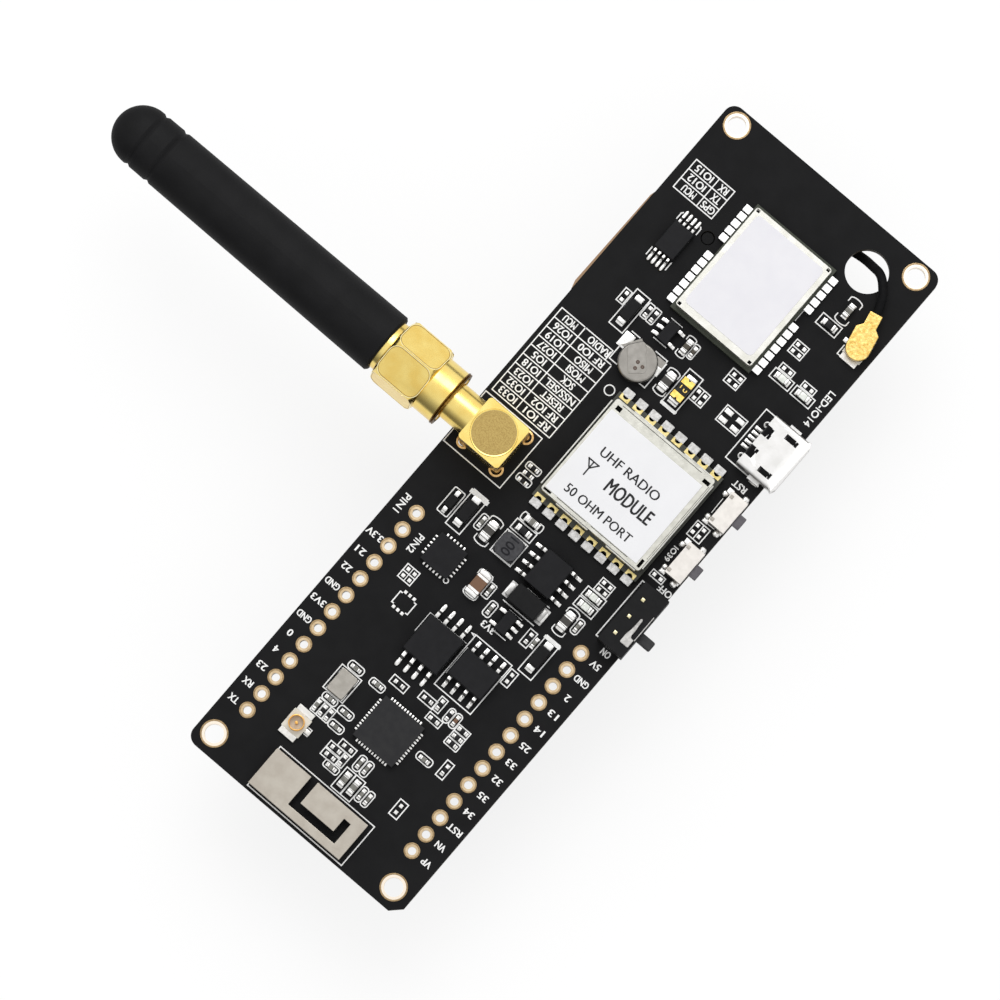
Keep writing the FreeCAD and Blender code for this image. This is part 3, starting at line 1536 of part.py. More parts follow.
save("ceramic_capacitors", two_ended_bodies(capacitors))
save("resistors", two_ended_bodies(resistors))
save("status_leds", two_ended_bodies(leds))
save("memory_chip", chip_body(memory_shape))
save("flash_chip", chip_body(flash_shape))
save("charger_chip", chip_body(charger_shape))
save("amplifier_chip", chip_body(amplifier_shape))
save("converter_chips", [chip_body(shape) for shape in converter_shapes])
save("processor_chip", leadless_chip(processor_shape))
save("usb_bridge_chip", leadless_chip(usb_bridge_shape))
save("power_diode", diode_body(power_diode_shape))
save("small_diodes", [diode_body(shape) for shape in small_diode_shapes])
save("button_cases", [button_case(button_reset_y), button_case(button_user_y)])
save("reset_plunger", button_plunger(button_reset_y))
save("user_plunger", button_plunger(button_user_y))
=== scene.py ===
import bpy, bmesh, json, math
from mathutils import Matrix, Vector


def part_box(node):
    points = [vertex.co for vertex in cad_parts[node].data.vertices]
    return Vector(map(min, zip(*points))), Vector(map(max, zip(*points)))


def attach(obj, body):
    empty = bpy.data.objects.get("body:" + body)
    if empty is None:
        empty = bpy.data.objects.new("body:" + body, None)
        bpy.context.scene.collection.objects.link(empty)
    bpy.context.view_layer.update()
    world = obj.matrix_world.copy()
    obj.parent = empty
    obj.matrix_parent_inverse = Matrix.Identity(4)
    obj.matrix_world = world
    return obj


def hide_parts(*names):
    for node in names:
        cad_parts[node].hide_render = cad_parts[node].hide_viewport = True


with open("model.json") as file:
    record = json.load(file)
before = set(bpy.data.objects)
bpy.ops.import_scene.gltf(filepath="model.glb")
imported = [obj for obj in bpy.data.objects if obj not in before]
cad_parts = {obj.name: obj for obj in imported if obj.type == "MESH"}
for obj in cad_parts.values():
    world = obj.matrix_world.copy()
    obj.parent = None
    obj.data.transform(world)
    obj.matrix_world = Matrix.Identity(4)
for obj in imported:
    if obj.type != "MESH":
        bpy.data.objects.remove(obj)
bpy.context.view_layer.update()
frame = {"nodes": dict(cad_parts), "record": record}
mm = 0.001               # every size below is in millimetres, every mesh ends up in metres
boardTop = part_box("circuit_board")[1].z / mm
slotOf = {part["node"]: part["material_slot"] for part in frame["record"]["subparts"]}
print("frame loaded:", len(frame["nodes"]), "nodes")


# Small helpers for nodes, meshes and pieces

def toLinear(hexColour):
    parts = [int(hexColour[i:i + 2], 16) / 255 for i in (1, 3, 5)]
    return tuple(c / 12.92 if c <= 0.04045 else ((c + 0.055) / 1.055) ** 2.4 for c in parts) + (1.0,)


def addNode(tree, kind, settings=()):
    # a setting is for the input of that name or number, or for the node itself; a node or socket is linked
    node = tree.nodes.new(kind)
    for name, value in dict(settings).items():
        if isinstance(value, bpy.types.Node):
            value = value.outputs[0]
        if isinstance(value, bpy.types.NodeSocket):
            tree.links.new(value, node.inputs[name])
        elif isinstance(name, int) or name in node.inputs:
            node.inputs[name].default_value = value
        else:
            setattr(node, name, value)
    return node


def emptyTree(owner):
    owner.use_nodes = True
    owner.node_tree.nodes.clear()
    return owner.node_tree


def addObject(name, data):
    obj = bpy.data.objects.new(name, data)
    bpy.context.collection.objects.link(obj)
    return obj


def boxOf(nodeName):
    return [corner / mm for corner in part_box(nodeName)]


def islandsOf(nodeName):
    # lowest and highest corner of each separate solid of a node
    mesh = frame["nodes"][nodeName].data
    place = [tuple(round(c * 1e6) for c in v.co) for v in mesh.vertices]
    parent = {p: p for p in place}

    def top(p):
        while parent[p] != p:
            parent[p] = parent[parent[p]]
            p = parent[p]
        return p

    for edge in mesh.edges:
        a, b = (top(place[i]) for i in edge.vertices)
        parent[a] = b
    groups = {}
    for p in parent:
        groups.setdefault(top(p), []).append(p)
    boxes = [[Vector([pick(p[i] for p in points) / 1000 for i in range(3)]) for pick in (min, max)]
             for points in groups.values()]
    return sorted(boxes, key=lambda b: (round(b[0].x, 2), round(b[0].y, 2), b[0].z))


def meshOf(bm, name):
    mesh = bpy.data.meshes.new(name)
    bm.to_mesh(mesh)
    bm.free()
    return mesh


def evaluatedMesh(obj, name):
    # what the modifiers make of an object, as a plain mesh; the object is taken away
    mesh = bpy.data.meshes.new_from_object(obj.evaluated_get(bpy.context.evaluated_depsgraph_get()))
    mesh.name = name
    data = obj.data
    bpy.data.objects.remove(obj)
    if isinstance(data, bpy.types.Mesh):
        bpy.data.meshes.remove(data)
    return mesh


def finishPiece(name, mesh, material, slotName, body="board", nodes=(), even=False):
    # even gives large flat faces their own direction, so that only the rounded edges between them are soft
    mesh.transform(Matrix.Scale(mm, 4))
    mesh.polygons.foreach_set("use_smooth", [True] * len(mesh.polygons))
    mesh.set_sharp_from_angle(angle=math.radians(40))
    if even:
        temp = addObject("temp", mesh)
        temp.modifiers.new("Normals", "WEIGHTED_NORMAL").keep_sharp = True
        mesh = evaluatedMesh(temp, name)
    mesh.materials.clear()
    mesh.materials.append(material)
    mesh.polygons.foreach_set("material_index", [0] * len(mesh.polygons))
    obj = addObject(name, mesh)
    if nodes:
        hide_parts(*nodes)
    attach(obj, body)
    return obj


def pieceFrom(name, bm, material, slotName, body="board", nodes=()):
    return finishPiece(name, meshOf(bm, name), material, slotName, body, nodes)


def softened(nodeName, width, material=None, body="board", segments=2, angle=32, cutter=None,
             operation="DIFFERENCE", chosen=None, prepare=None):
    # the node again with small rounded edges, which catch the light as real ones do
    bm = bmesh.new()
    bm.from_mesh(frame["nodes"][nodeName].data)
    bmesh.ops.scale(bm, vec=(1 / mm,) * 3, verts=bm.verts)
    bmesh.ops.remove_doubles(bm, verts=bm.verts, dist=0.0015)
    bmesh.ops.dissolve_limit(bm, angle_limit=math.radians(0.6), verts=bm.verts, edges=bm.edges)
    if prepare:
        prepare(bm)
    if chosen:
        weights = bm.edges.layers.float.new("bevel_weight_edge")
        for edge in bm.edges:
            edge[weights] = float(chosen(edge.verts[0].co, edge.verts[1].co))
    temp = addObject("temp", meshOf(bm, "temp"))
    bevel = temp.modifiers.new("Edges", "BEVEL")
    bevel.width = width
    bevel.segments = segments
    bevel.limit_method = "WEIGHT" if chosen else "ANGLE"
    bevel.angle_limit = math.radians(angle)
    bevel.use_clamp_overlap = True
    if cutter:
        tool = addObject("tool", meshOf(cutter, "tool"))
        cut = temp.modifiers.new("Cut", "BOOLEAN")
        cut.object = tool
        cut.operation = operation
        cut.solver = "EXACT"
        cut.use_self = True
        if not chosen:
            temp.modifiers.move(1, 0)
    made = evaluatedMesh(temp, nodeName)
    if cutter:
        bpy.data.objects.remove(tool)
    slotName = slotOf[nodeName]
    material = material or finishes[slotName]
    return finishPiece(nodeName + "_fine", made, material, slotName, body, [nodeName], True)


def rounded(bm, width, segments=2, clamp=True):
    bmesh.ops.bevel(bm, geom=bm.edges, offset=width, segments=segments, affect="EDGES", clamp_overlap=clamp)


def addTurned(bm, profile, steps, place):
    # a body of revolution: profile is (along, radius) from end to end or round a ring, place puts its axis
    rings = []
    for along, radius in profile + (profile[:1] if profile[0][1] else []):
        turns = [2 * math.pi * i / steps for i in range(steps if radius else 1)]
        points = [Vector((along, radius * math.cos(t), radius * math.sin(t))) for t in turns]
        rings.append([bm.verts.new(place @ point) for point in points])
    made = []
    for a, b in zip(rings, rings[1:]):
        for i in range(steps):
            j = (i + 1) % steps
            corners = [a[i % len(a)], b[i % len(b)], b[j % len(b)], a[j % len(a)]]
            made.append(bm.faces.new([c for n, c in enumerate(corners) if c not in corners[:n]]))
    bmesh.ops.recalc_face_normals(bm, faces=made)


def ringProfile(inner, outer, low, outside, top, inside):
    return [(low, outer), (outside, outer), (top, (inner + outer) / 2), (inside, inner), (low, inner)]


def addUpright(bm, profile, steps, places):
    # the same turned body, standing at each of the places
    for place in places:
        addTurned(bm, profile, steps, Matrix.Translation(place) @ Matrix.Rotation(-math.pi / 2, 4, "Y"))


def addPlate(bm, outline, low, high):
    under, over = ([bm.verts.new((x, y, z)) for x, y in outline] for z in (low, high))
    faces = [bm.faces.new(over), bm.faces.new(under[::-1])]
    for i in range(len(outline)):
        j = (i + 1) % len(outline)
        faces.append(bm.faces.new((under[i], under[j], over[j], over[i])))
    bmesh.ops.recalc_face_normals(bm, faces=faces)


def addBox(bm, low, high):
    xs, ys, zs = zip(low, high)
    corners = [bm.verts.new((x, y, z)) for z in zs for y in ys for x in xs]
    for face in ((0, 2, 3, 1), (4, 5, 7, 6), (0, 1, 5, 4), (2, 6, 7, 3), (0, 4, 6, 2), (1, 3, 7, 5)):
        bm.faces.new([corners[i] for i in face])


def addBoxes(bm, sides, low, high):
    # boxes of the same height, each by its left, right, near and far side
    for left, right, near, far in sides:
        addBox(bm, (left, near, low), (right, far, high))


def arcPoints(x, y, radiusX, radiusY, start, end, steps):
    turns = [math.radians(start + (end - start) * i / steps) for i in range(steps + 1)]
    return [(x + radiusX * math.cos(t), y + radiusY * math.sin(t)) for t in turns]


def roundedOutline(left, right, low, high, radius, steps):
    outline = []
    for x, y, start in ((right - radius, high - radius, 0), (left + radius, high - radius, 90),
                        (left + radius, low + radius, 180), (right - radius, low + radius, 270)):
        outline += arcPoints(x, y, radius, radius, start, start + 90, steps)
    return outline


# Finishes

def feedOf(material, inputName):
    # a finished material's tree, that input of its shader, and what feeds it
    tree = material.node_tree
    shader = next(node for node in tree.nodes if node.type == "BSDF_PRINCIPLED")
    return tree, shader.inputs[inputName], shader.inputs[inputName].links[0].from_socket


def tintWhere(material, colour, kind, limit, places=()):
    # lays a second colour over the first: left of a line, on sloping faces, or near some places
    tree, target, first = feedOf(material, "Base Color")
    lookup = addNode(tree, "ShaderNodeTexCoord").outputs
    if kind == "near":
        mask = 0
        for place in places:
            away = addNode(tree, "ShaderNodeVectorMath", {"operation": "DISTANCE", 0: lookup["Object"],
                                                          1: [c * mm for c in place]}).outputs["Value"]
            inside = addNode(tree, "ShaderNodeMath", {"operation": "LESS_THAN", 0: away, 1: limit * mm})
            mask = addNode(tree, "ShaderNodeMath", {"operation": "MAXIMUM", 0: inside, 1: mask})
    elif kind == "left":
        split = addNode(tree, "ShaderNodeSeparateXYZ", {0: lookup["Object"]})
        mask = addNode(tree, "ShaderNodeMath", {"operation": "LESS_THAN", 0: split, 1: limit * mm})
    else:
        split = addNode(tree, "ShaderNodeSeparateXYZ", {0: lookup["Normal"]})
        size = addNode(tree, "ShaderNodeMath", {"operation": "ABSOLUTE", 0: split.outputs["Z"]})
        mask = addNode(tree, "ShaderNodeMath", {"operation": "LESS_THAN", 0: size, 1: limit})
    blend = addNode(tree, "ShaderNodeMix", {"data_type": "RGBA", 0: mask, 6: first, 7: toLinear(colour)})
    tree.links.new(blend.outputs[2], target)
    return material


def finish(name, colour, shade, spot, roughness, metallic, grain, bump, specular=0.5, other=None):
    # colour and shade are mixed by a soft noise of spot millimetres; roughness and bump follow one of grain
    # millimetres, drawn as coarse as it needs to show; the attribute "tone" says where the other colour is
    smooth, rough = max(roughness - 0.06, 0.02), roughness + 0.06
    material = bpy.data.materials.new(name)
    tree = emptyTree(material)
    place = addNode(tree, "ShaderNodeTexCoord").outputs["Object"]
    patches = addNode(tree, "ShaderNodeTexNoise", {"Scale": 1000 / spot, "Detail": 3.0, "Vector": place})
    grains = addNode(tree, "ShaderNodeTexNoise", {"Scale": 1000 / grain, "Detail": 2.0, "Vector": place})
    tint = addNode(tree, "ShaderNodeValToRGB", {"Fac": patches})
    for element, position, tone in zip(tint.color_ramp.elements, (0.35, 0.65), (shade, colour)):
        element.position, element.color = position, toLinear(tone)
    gloss = addNode(tree, "ShaderNodeMapRange", {"To Min": smooth, "To Max": rough, "Value": grains})
    relief = addNode(tree, "ShaderNodeBump", {"Strength": 0.6, "Distance": bump * mm, "Height": grains})
    if other:
        share = addNode(tree, "ShaderNodeAttribute", {"attribute_name": "tone"}).outputs["Fac"]
        blend = addNode(tree, "ShaderNodeMix", {"data_type": "RGBA", 0: share, 6: tint, 7: toLinear(other)})
        tint = blend.outputs[2]
    shader = addNode(tree, "ShaderNodeBsdfPrincipled", {
        "Base Color": tint, "Roughness": gloss, "Normal": relief, "Metallic": metallic,
        "Specular IOR Level": specular})
    addNode(tree, "ShaderNodeOutputMaterial", {"Surface": shader})
    return material


def addRipple(material, period, height, leftOf=1000):
    # shallow rings across the X axis, period millimetres apart, left of a line
    tree, target, first = feedOf(material, "Normal")
    place = addNode(tree, "ShaderNodeTexCoord").outputs["Object"]
    scale = math.pi / (10 * period * mm)
    wave = addNode(tree, "ShaderNodeTexWave", {"Scale": scale, "Distortion": 0.3, "Vector": place})
    split = addNode(tree, "ShaderNodeSeparateXYZ", {0: place})
    below = addNode(tree, "ShaderNodeMath", {"operation": "LESS_THAN", 0: split, 1: leftOf * mm})
    there = addNode(tree, "ShaderNodeMath", {"operation": "MULTIPLY", 0: wave.outputs["Fac"], 1: below})
    relief = addNode(tree, "ShaderNodeBump", {"Strength": 0.7, "Distance": height * mm, "Height": there,
                                              "Normal": first})
    tree.links.new(relief.outputs["Normal"], target)


# slot: material and surface, colour, shade, spot, roughness, metallic, grain, bump, specular, second colour
finishes = {
    # epoxy mask on glass laminate: nearly black, hardly any sheen, faint mottling; other laminates are satin
    "solder_mask": ("black solder mask, matt", "#171718", "#131314", 2.5, 0.62, 0, 0.18, 0.008, 0.1),
    "module_laminate": ("module laminate, dark grey green", "#4a4b44", "#3a3b36", 0.8, 0.5, 0, 0.1, 0.01, 0.3),
    "receiver_laminate": ("receiver laminate, green", "#3e4238", "#33372d", 0.8, 0.45, 0, 0.1, 0.01, 0.3),
    # thin plating: pale uneven gold on copper, bright tin with soft dents, deep clear gold on turned brass
    "gold_plating": ("immersion gold plating", "#cdb999", "#bca583", 0.7, 0.33, 1, 0.3, 0.01),
    "tin_plating": ("bright tin solder", "#efeeec", "#d6d5d2", 0.5, 0.28, 1, 0.25, 0.02),
    "connector_gold": ("gold plated brass, turned", "#f5dc86", "#edcc70", 2.2, 0.2, 1, 0.5, 0.006),
    "cap_gold": ("gold plated cap, stamped matt", "#a8925a", "#927b49", 0.14, 0.4, 1, 0.09, 0.02),
    # fired ceramics, ferrite and glazes: dull and fine grained, brown or grey, the glaze smoother
    "capacitor_ceramic": ("sintered ceramic, grey to brown", "#85847e", "#6a6963", 0.6, 0.5, 0, 0.1, 0.01, 0.3,
                          "#735540"),
    "resistor_glaze": ("black resistor glaze", "#222224", "#19191a", 0.5, 0.4, 0, 0.2, 0.005, 0.14),
    "inductor_ferrite": ("pressed ferrite, dark grey", "#414144", "#303033", 0.4, 0.6, 0, 0.1, 0.025, 0.3),
    "patch_ceramic": ("antenna ceramic, pale brown", "#b9a489", "#a9947a", 1.0, 0.55, 0, 0.15, 0.02),
    "patch_silver": ("fired silver face", "#d9d7d2", "#c6c4be", 1.2, 0.38, 1, 0.12, 0.015),
    # moulded resins and nylons: charcoal to black, the grain of the mould leaves only a soft wide sheen
    "led_lens": ("clear epoxy lens, milky", "#f1f3ee", "#e2e6de", 0.5, 0.2, 0, 0.2, 0.005),
    "chip_mould": ("moulding compound, black matt", "#1c1c1e", "#18181a", 0.9, 0.62, 0, 0.06, 0.01, 0.14),
    "diode_mould": ("moulding compound, satin black", "#161617", "#121213", 0.6, 0.5, 0, 0.08, 0.008, 0.12),
    "tantalum_mould": ("tantalum case, amber moulding", "#d8a84e", "#c08a2e", 0.6, 0.4, 0, 0.12, 0.01),
    "usb_plastic": ("usb tongue, black nylon", "#1d1d1e", "#141415", 0.6, 0.45, 0, 0.1, 0.01, 0.3),
    "button_plastic": ("button plunger, grey nylon", "#625f63", "#555257", 0.5, 0.5, 0, 0.1, 0.01, 0.3),
    "switch_plastic": ("switch body, black nylon", "#19191a", "#151516", 0.8, 0.55, 0, 0.1, 0.008, 0.12),
    "holder_plastic": ("battery holder, black nylon", "#212122", "#19191a", 3.0, 0.5, 0, 0.2, 0.02, 0.12),
    "insulator_white": ("fluoropolymer insulator, white", "#eeeeea", "#e4e4e0", 0.9, 0.45, 0, 0.2, 0.01),
    "socket_base": ("socket insulator, ivory resin", "#e6e2d6", "#d9d5c9", 0.6, 0.45, 0, 0.1, 0.01),
    "antenna_rubber": ("moulded rubber, black matt", "#1b1b1c", "#171718", 3.0, 0.62, 0, 0.15, 0.02, 0.1),
    "lead_jacket": ("coax jacket, black film", "#151516", "#101011", 0.8, 0.6, 0, 0.1, 0.008, 0.05),
    # rolled and stamped sheet: blurred mirror images, from warm grey nickel to pale tinned steel
    "crystal_lid": ("crystal can, brushed nickel", "#a39f98", "#96928b", 0.9, 0.36, 1, 0.12, 0.008),
    "cell_steel": ("coin cell, satin steel", "#8b8883", "#817e79", 1.4, 0.36, 1, 0.1, 0.008),
    "strip_steel": ("welding strip, nickel", "#918e89", "#86837e", 0.8, 0.34, 1, 0.1, 0.008),
    "shield_steel": ("shield can, tinned steel", "#d9d8d3", "#cbcac5", 2.0, 0.3, 1, 0.15, 0.008),
    "usb_steel": ("usb shell, bright nickel", "#d6d5d4", "#cccbc9", 1.5, 0.3, 1, 0.2, 0.008),
    "button_metal": ("button cover, satin nickel", "#cfcbc6", "#c6c2bd", 0.7, 0.42, 1, 0.1, 0.008),
    "antenna_sheet": ("stamped antenna, tinned sheet", "#aea89e", "#a49d93", 1.6, 0.45, 1, 0.2, 0.008),
    "contact_nickel": ("battery spring, nickel steel", "#c2c0bd", "#b0aeaa", 1.0, 0.3, 1, 0.15, 0.008),
    "coil_steel": ("coil wire, copper clad steel", "#b07a4a", "#8f6036", 1.0, 0.35, 1, 0.2, 0.01),
    # printed film: even white with a soft shine
    "label_paper": ("label film, satin white", "#ededef", "#eaeaec", 4.0, 0.5, 0, 0.25, 0.004, 0.3),
}
finishes = {slotName: finish(*values) for slotName, values in finishes.items()}
# opaque ink with a dry surface, and dark grey mould of the one large chip
silkInk = finish("white printing ink", "#fcfcfb", "#efefed", 0.3, 0.6, 0, 0.08, 0.004, 0.2)
processorMould = finish("processor mould, grey black", "#2d2d2e", "#28282a", 0.9, 0.6, 0, 0.06, 0.01, 0.14)
# painted shade on the bend between foot and shoulder, as the lead's other colour: a painted dark reflection of
# the board that it mirrors
leadTin = finish("tinned lead, painted dark bend", "#e9e8e6", "#d3d2cf", 0.3, 0.32, 1, 0.2, 0.01, other="#3c3b3a")
# solder: duller where it is thin; the ends and fillets get painted shade on their sloping sides
edgeTin = finish("module edge solder, dull", "#c3c2c1", "#a6a5a3", 0.4, 0.36, 1, 0.15, 0.015)
endTin = finish("tinned end and solder fillet", "#eeedeb", "#d8d7d4", 0.4, 0.3, 1, 0.2, 0.015)
# gold: clear where it is new, darker at the outer edge of the plated rings; on the nut, painted shade on the
# lip at the collar's end, and a painted highlight and a painted dark reflection along the edge of each flat
edgeGold = finish("module edge gold", "#dfcf96", "#c3b06f", 0.5, 0.34, 1, 0.2, 0.01)
plugGold = finish("gold plug, stamped and crimped", "#e8cb80", "#cda758", 0.45, 0.3, 1, 0.3, 0.04)
pinGold = finish("contact pin, pale gold", "#e4dcb8", "#cfc597", 0.3, 0.3, 1, 0.2, 0.01)
ringEdgeGold = finish("gold plating, darker at its edge", "#a48d6c", "#8a7454", 0.3, 0.36, 1, 0.15, 0.01)
# painted shade for the lip at the end of the nut's collar
shadedLipGold = finish("turned edge, painted shade", "#8a662a", "#5b3f16", 0.3, 0.35, 1, 0.1, 0.03)
# painted dark reflection, laid beside the edge of each of the nut's flats
flatEdgeDarkReflection = finish("painted dark reflection beside a gold flat's edge", "#b8924a", "#9a7433", 0.5, 0.3, 1, 0.2, 0.004)
# painted highlight, laid along the edge of each of the nut's flats
flatEdgeHighlight = finish("painted highlight along a gold flat's edge", "#fff6c4", "#f9eaa8", 0.3, 0.14, 1, 0.2, 0.004)
# silver round a gold middle
socketMetal = finish("coax socket, silver plated", "#dedcd8", "#cbc9c4", 0.5, 0.34, 1, 0.15, 0.01)

# where the board was broken out of its panel the laminate is bare, and its cut sides are dark brown
tintWhere(finishes["solder_mask"], "#3b342a", "slope", 0.5)
tintWhere(finishes["solder_mask"], "#9f8368", "left", -16.14)
# painted shade on the steep faces of the leads and of the usb pins
tintWhere(leadTin, "#403f3d", "slope", 0.9)
# painted shade on the sloping sides of the ceramic parts' metal ends and of the solder fillets
tintWhere(endTin, "#6b6a67", "slope", 0.78)
# the receiver's squares are whiter than the radio module's
tintWhere(edgeTin, "#eeeeed", "near", 12, [(1.5, 33, 2)])
tintWhere(socketMetal, "#dba85c", "near", 1.16, [(-7.3, -40.1, 2.5), (14.2, 36.2, 2.5)])
# the rings of the four corner holes are paler
cornerRings = [(low + high) / 2 for low, high in islandsOf("plated_eyelets") if high.x - low.x > 2.5]
tintWhere(finishes["gold_plating"], "#e9ddcd", "near", 2.9, cornerRings)
# the three large ceramic parts are nearly black, a pair by the coin cell is olive
largeParts = [(-4.85, -8.3, 2.2), (-0.4, 18.7, 2.2), (8.95, -10.55, 2.2)]
tintWhere(finishes["capacitor_ceramic"], "#3f3d3a", "near", 1.1, largeParts)
tintWhere(finishes["capacitor_ceramic"], "#4c473e", "near", 1.3, [(-1.1, 23.4, 2)])
# the holder's peg in the board lies in shadow
tintWhere(finishes["holder_plastic"], "#09090a", "near", 1.1, [(-7.94, 34.8, 1.4)])
addRipple(finishes["antenna_rubber"], 2.5, 0.03)

for nodeName, slotName in slotOf.items():
    mesh = frame["nodes"][nodeName].data
    mesh.materials.clear()
    mesh.materials.append(finishes[slotName])
frame["nodes"]["radio_edge_pads"].data.materials[0] = edgeGold
print("finishes made:", len(finishes))


# Camera, light and floor

view = {"azimuth": 40.53, "elevation": 84.6, "aim": (-6.26, -4.645), "away": 850.0, "frameWidth": 117.55}
studio = {
    # lamps and floor in metres
    "keyPower": 2.6, "keyPlace": (-0.25, 0.35, 0.6), "fillPower": 0.5, "fillPlace": (0.5, -0.3, 0.35),
    "lampSide": 0.5, "worldLevel": 0.66, "brightSide": (-0.15, 0.65, 0.75),
    "roomLevels": [(0.24, 0.22), (0.4, 0.5), (0.56, 0.9), (0.87, 1.05), (0.97, 1.2)],
    "floorSize": 4.0, "floorGlow": 0.8, "floorPaper": 0.21, "cardNear": 0.07, "cardFar": 0.13,
}
white = (1, 1, 1, 1)


def makeCamera():
    turn, rise = math.radians(view["azimuth"]), math.radians(view["elevation"])
    back = Vector((math.sin(turn) * math.cos(rise), -math.cos(turn) * math.cos(rise), math.sin(rise)))
    data = bpy.data.cameras.new("camera")
    data.sensor_width = 36
    data.lens = data.sensor_width * view["away"] / view["frameWidth"]
    data.clip_start, data.clip_end = 0.01, 10
    camera = addObject("camera", data)
    camera.rotation_mode = "QUATERNION"
    camera.location = (Vector((*view["aim"], boardTop)) + back * view["away"]) * mm
    camera.rotation_quaternion = (-back).to_track_quat("-Z", "Y")
    bpy.context.scene.camera = camera


def makeLamp(name):
    data = bpy.data.lights.new(name, "AREA")
    data.shape = "SQUARE"
    data.size = studio["lampSide"]
    data.energy = studio[name + "Power"]
    lamp = addObject(name, data)
    lamp.location = studio[name + "Place"]
    lamp.rotation_mode = "QUATERNION"
    lamp.rotation_quaternion = Vector(studio[name + "Place"]).to_track_quat("Z", "Y")


def makeWorld():
    world = bpy.data.worlds.new("studio")
    bpy.context.scene.world = world
    tree = emptyTree(world)
    # the studio is white above and behind the key lamp and greyer on the other side, as metal shows
    direction = addNode(tree, "ShaderNodeTexCoord").outputs["Generated"]
    bright = Vector(studio["brightSide"]).normalized()
    towards = addNode(tree, "ShaderNodeVectorMath", {"operation": "DOT_PRODUCT", 0: direction, 1: bright})
    share = addNode(tree, "ShaderNodeMapRange", {"From Min": -1.0, "Value": towards.outputs["Value"]})
    level = addNode(tree, "ShaderNodeFloatCurve", {"Value": share})
    levels = studio["roomLevels"]
    curve = level.mapping.curves[0]
    level.mapping.clip_max_y = levels[-1][1]
    curve.points[0].location = (0.0, levels[0][1])
    curve.points[1].location = (1.0, levels[-1][1])
    for place, height in levels:
        curve.points.new(place, height).handle_type = "VECTOR"
    level.mapping.update()
    # metal mirrors that room, other surfaces get even light, and the eye sees plain white
    path = addNode(tree, "ShaderNodeLightPath").outputs
    even = addNode(tree, "ShaderNodeBackground", {"Color": white, "Strength": studio["worldLevel"]})
    room = addNode(tree, "ShaderNodeBackground", {"Color": white, "Strength": level})
    plain = addNode(tree, "ShaderNodeBackground", {"Color": white, "Strength": 1.0})
    lit = addNode(tree, "ShaderNodeMixShader", {0: path["Is Glossy Ray"], 1: even, 2: room})
    seen = addNode(tree, "ShaderNodeMath", {"operation": "MAXIMUM", 0: path["Is Camera Ray"],
                                            1: path["Is Transmission Ray"]})
    last = addNode(tree, "ShaderNodeMixShader", {0: seen, 1: lit, 2: plain})
    addNode(tree, "ShaderNodeOutputWorld", {"Surface": last})


def makeFloor():
    # white card: it takes the shadow, and glows a little where it is looked at so that it reads as white
    card = bpy.data.materials.new("white card")
    tree = emptyTree(card)
    # in reflections only the near part of the card is bright, and the far part is dark as a room is
    path = addNode(tree, "ShaderNodeLightPath").outputs
    place = addNode(tree, "ShaderNodeTexCoord").outputs["Object"]
    away = addNode(tree, "ShaderNodeVectorMath", {"operation": "LENGTH", 0: place}).outputs["Value"]
    near = addNode(tree, "ShaderNodeMapRange", {"From Min": studio["cardFar"], "From Max": studio["cardNear"],
                                                "Value": away})
    mirrored = addNode(tree, "ShaderNodeMath", {"operation": "MULTIPLY", 0: path["Is Glossy Ray"], 1: near})
    both = addNode(tree, "ShaderNodeMath", {"operation": "MAXIMUM", 0: path["Is Camera Ray"], 1: mirrored})
    every = addNode(tree, "ShaderNodeMath", {"operation": "MAXIMUM", 0: both, 1: path["Is Transmission Ray"]})
    level = addNode(tree, "ShaderNodeMath", {"operation": "MULTIPLY", 0: every, 1: studio["floorGlow"]})
    paper = addNode(tree, "ShaderNodeBsdfDiffuse", {"Color": (studio["floorPaper"],) * 3 + (1,)})
    glow = addNode(tree, "ShaderNodeEmission", {"Color": white, "Strength": level})
    total = addNode(tree, "ShaderNodeAddShader", {0: paper, 1: glow})
    addNode(tree, "ShaderNodeOutputMaterial", {"Surface": total})
    half, low = studio["floorSize"] / 2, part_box("battery_holder")[0].z
    mesh = bpy.data.meshes.new("floor")
    corners = [(x * half, y * half, low) for x, y in ((-1, -1), (1, -1), (1, 1), (-1, 1))]
    mesh.from_pydata(corners, [], [(0, 1, 2, 3)])
    mesh.materials.append(card)
    addObject("floor", mesh)


makeCamera()
makeWorld()
makeLamp("key")
makeLamp("fill")
makeFloor()
bpy.context.scene.view_settings.view_transform = "Standard"
print("camera, light and floor made")


# Edges of the moulded, cut and folded pieces

edgeWidths = {
    "amplifier_chip": 0.08, "converter_chips": 0.06, "flash_chip": 0.1, "memory_chip": 0.1, "charger_chip": 0.1,
    "processor_chip": 0.05, "usb_bridge_chip": 0.05, "power_diode": 0.1, "small_diodes": 0.06,
    "ceramic_capacitors": 0.06, "resistors": 0.04, "component_ends": 0.07, "status_leds": 0.05, "crystal": 0.12,
    "coin_cell": 0.12, "radio_board": 0.04, "receiver_board": 0.05, "button_cases": 0.08, "switch_body": 0.08,
    "socket_insulators": 0.05, "stamped_antenna": 0.06, "battery_holder": 0.35, "battery_contacts": 0.06,
}
movingParts = {"reset_plunger": "reset_button", "user_plunger": "user_button", "switch_knob": "power_slider"}
otherFinish = {"processor_chip": processorMould, "component_ends": endTin}
for nodeName, width in edgeWidths.items():
    softened(nodeName, width, otherFinish.get(nodeName))
for nodeName, body in movingParts.items():
    softened(nodeName, 0.2, body=body, segments=3)


def setTone(obj, choose):
    # choose gives the share of the second colour at a corner's place
    mesh = obj.data
    tone = mesh.attributes.new("tone", "FLOAT", "POINT")
    tone.data.foreach_set("value", [float(choose(v.co / mm)) for v in mesh.vertices])


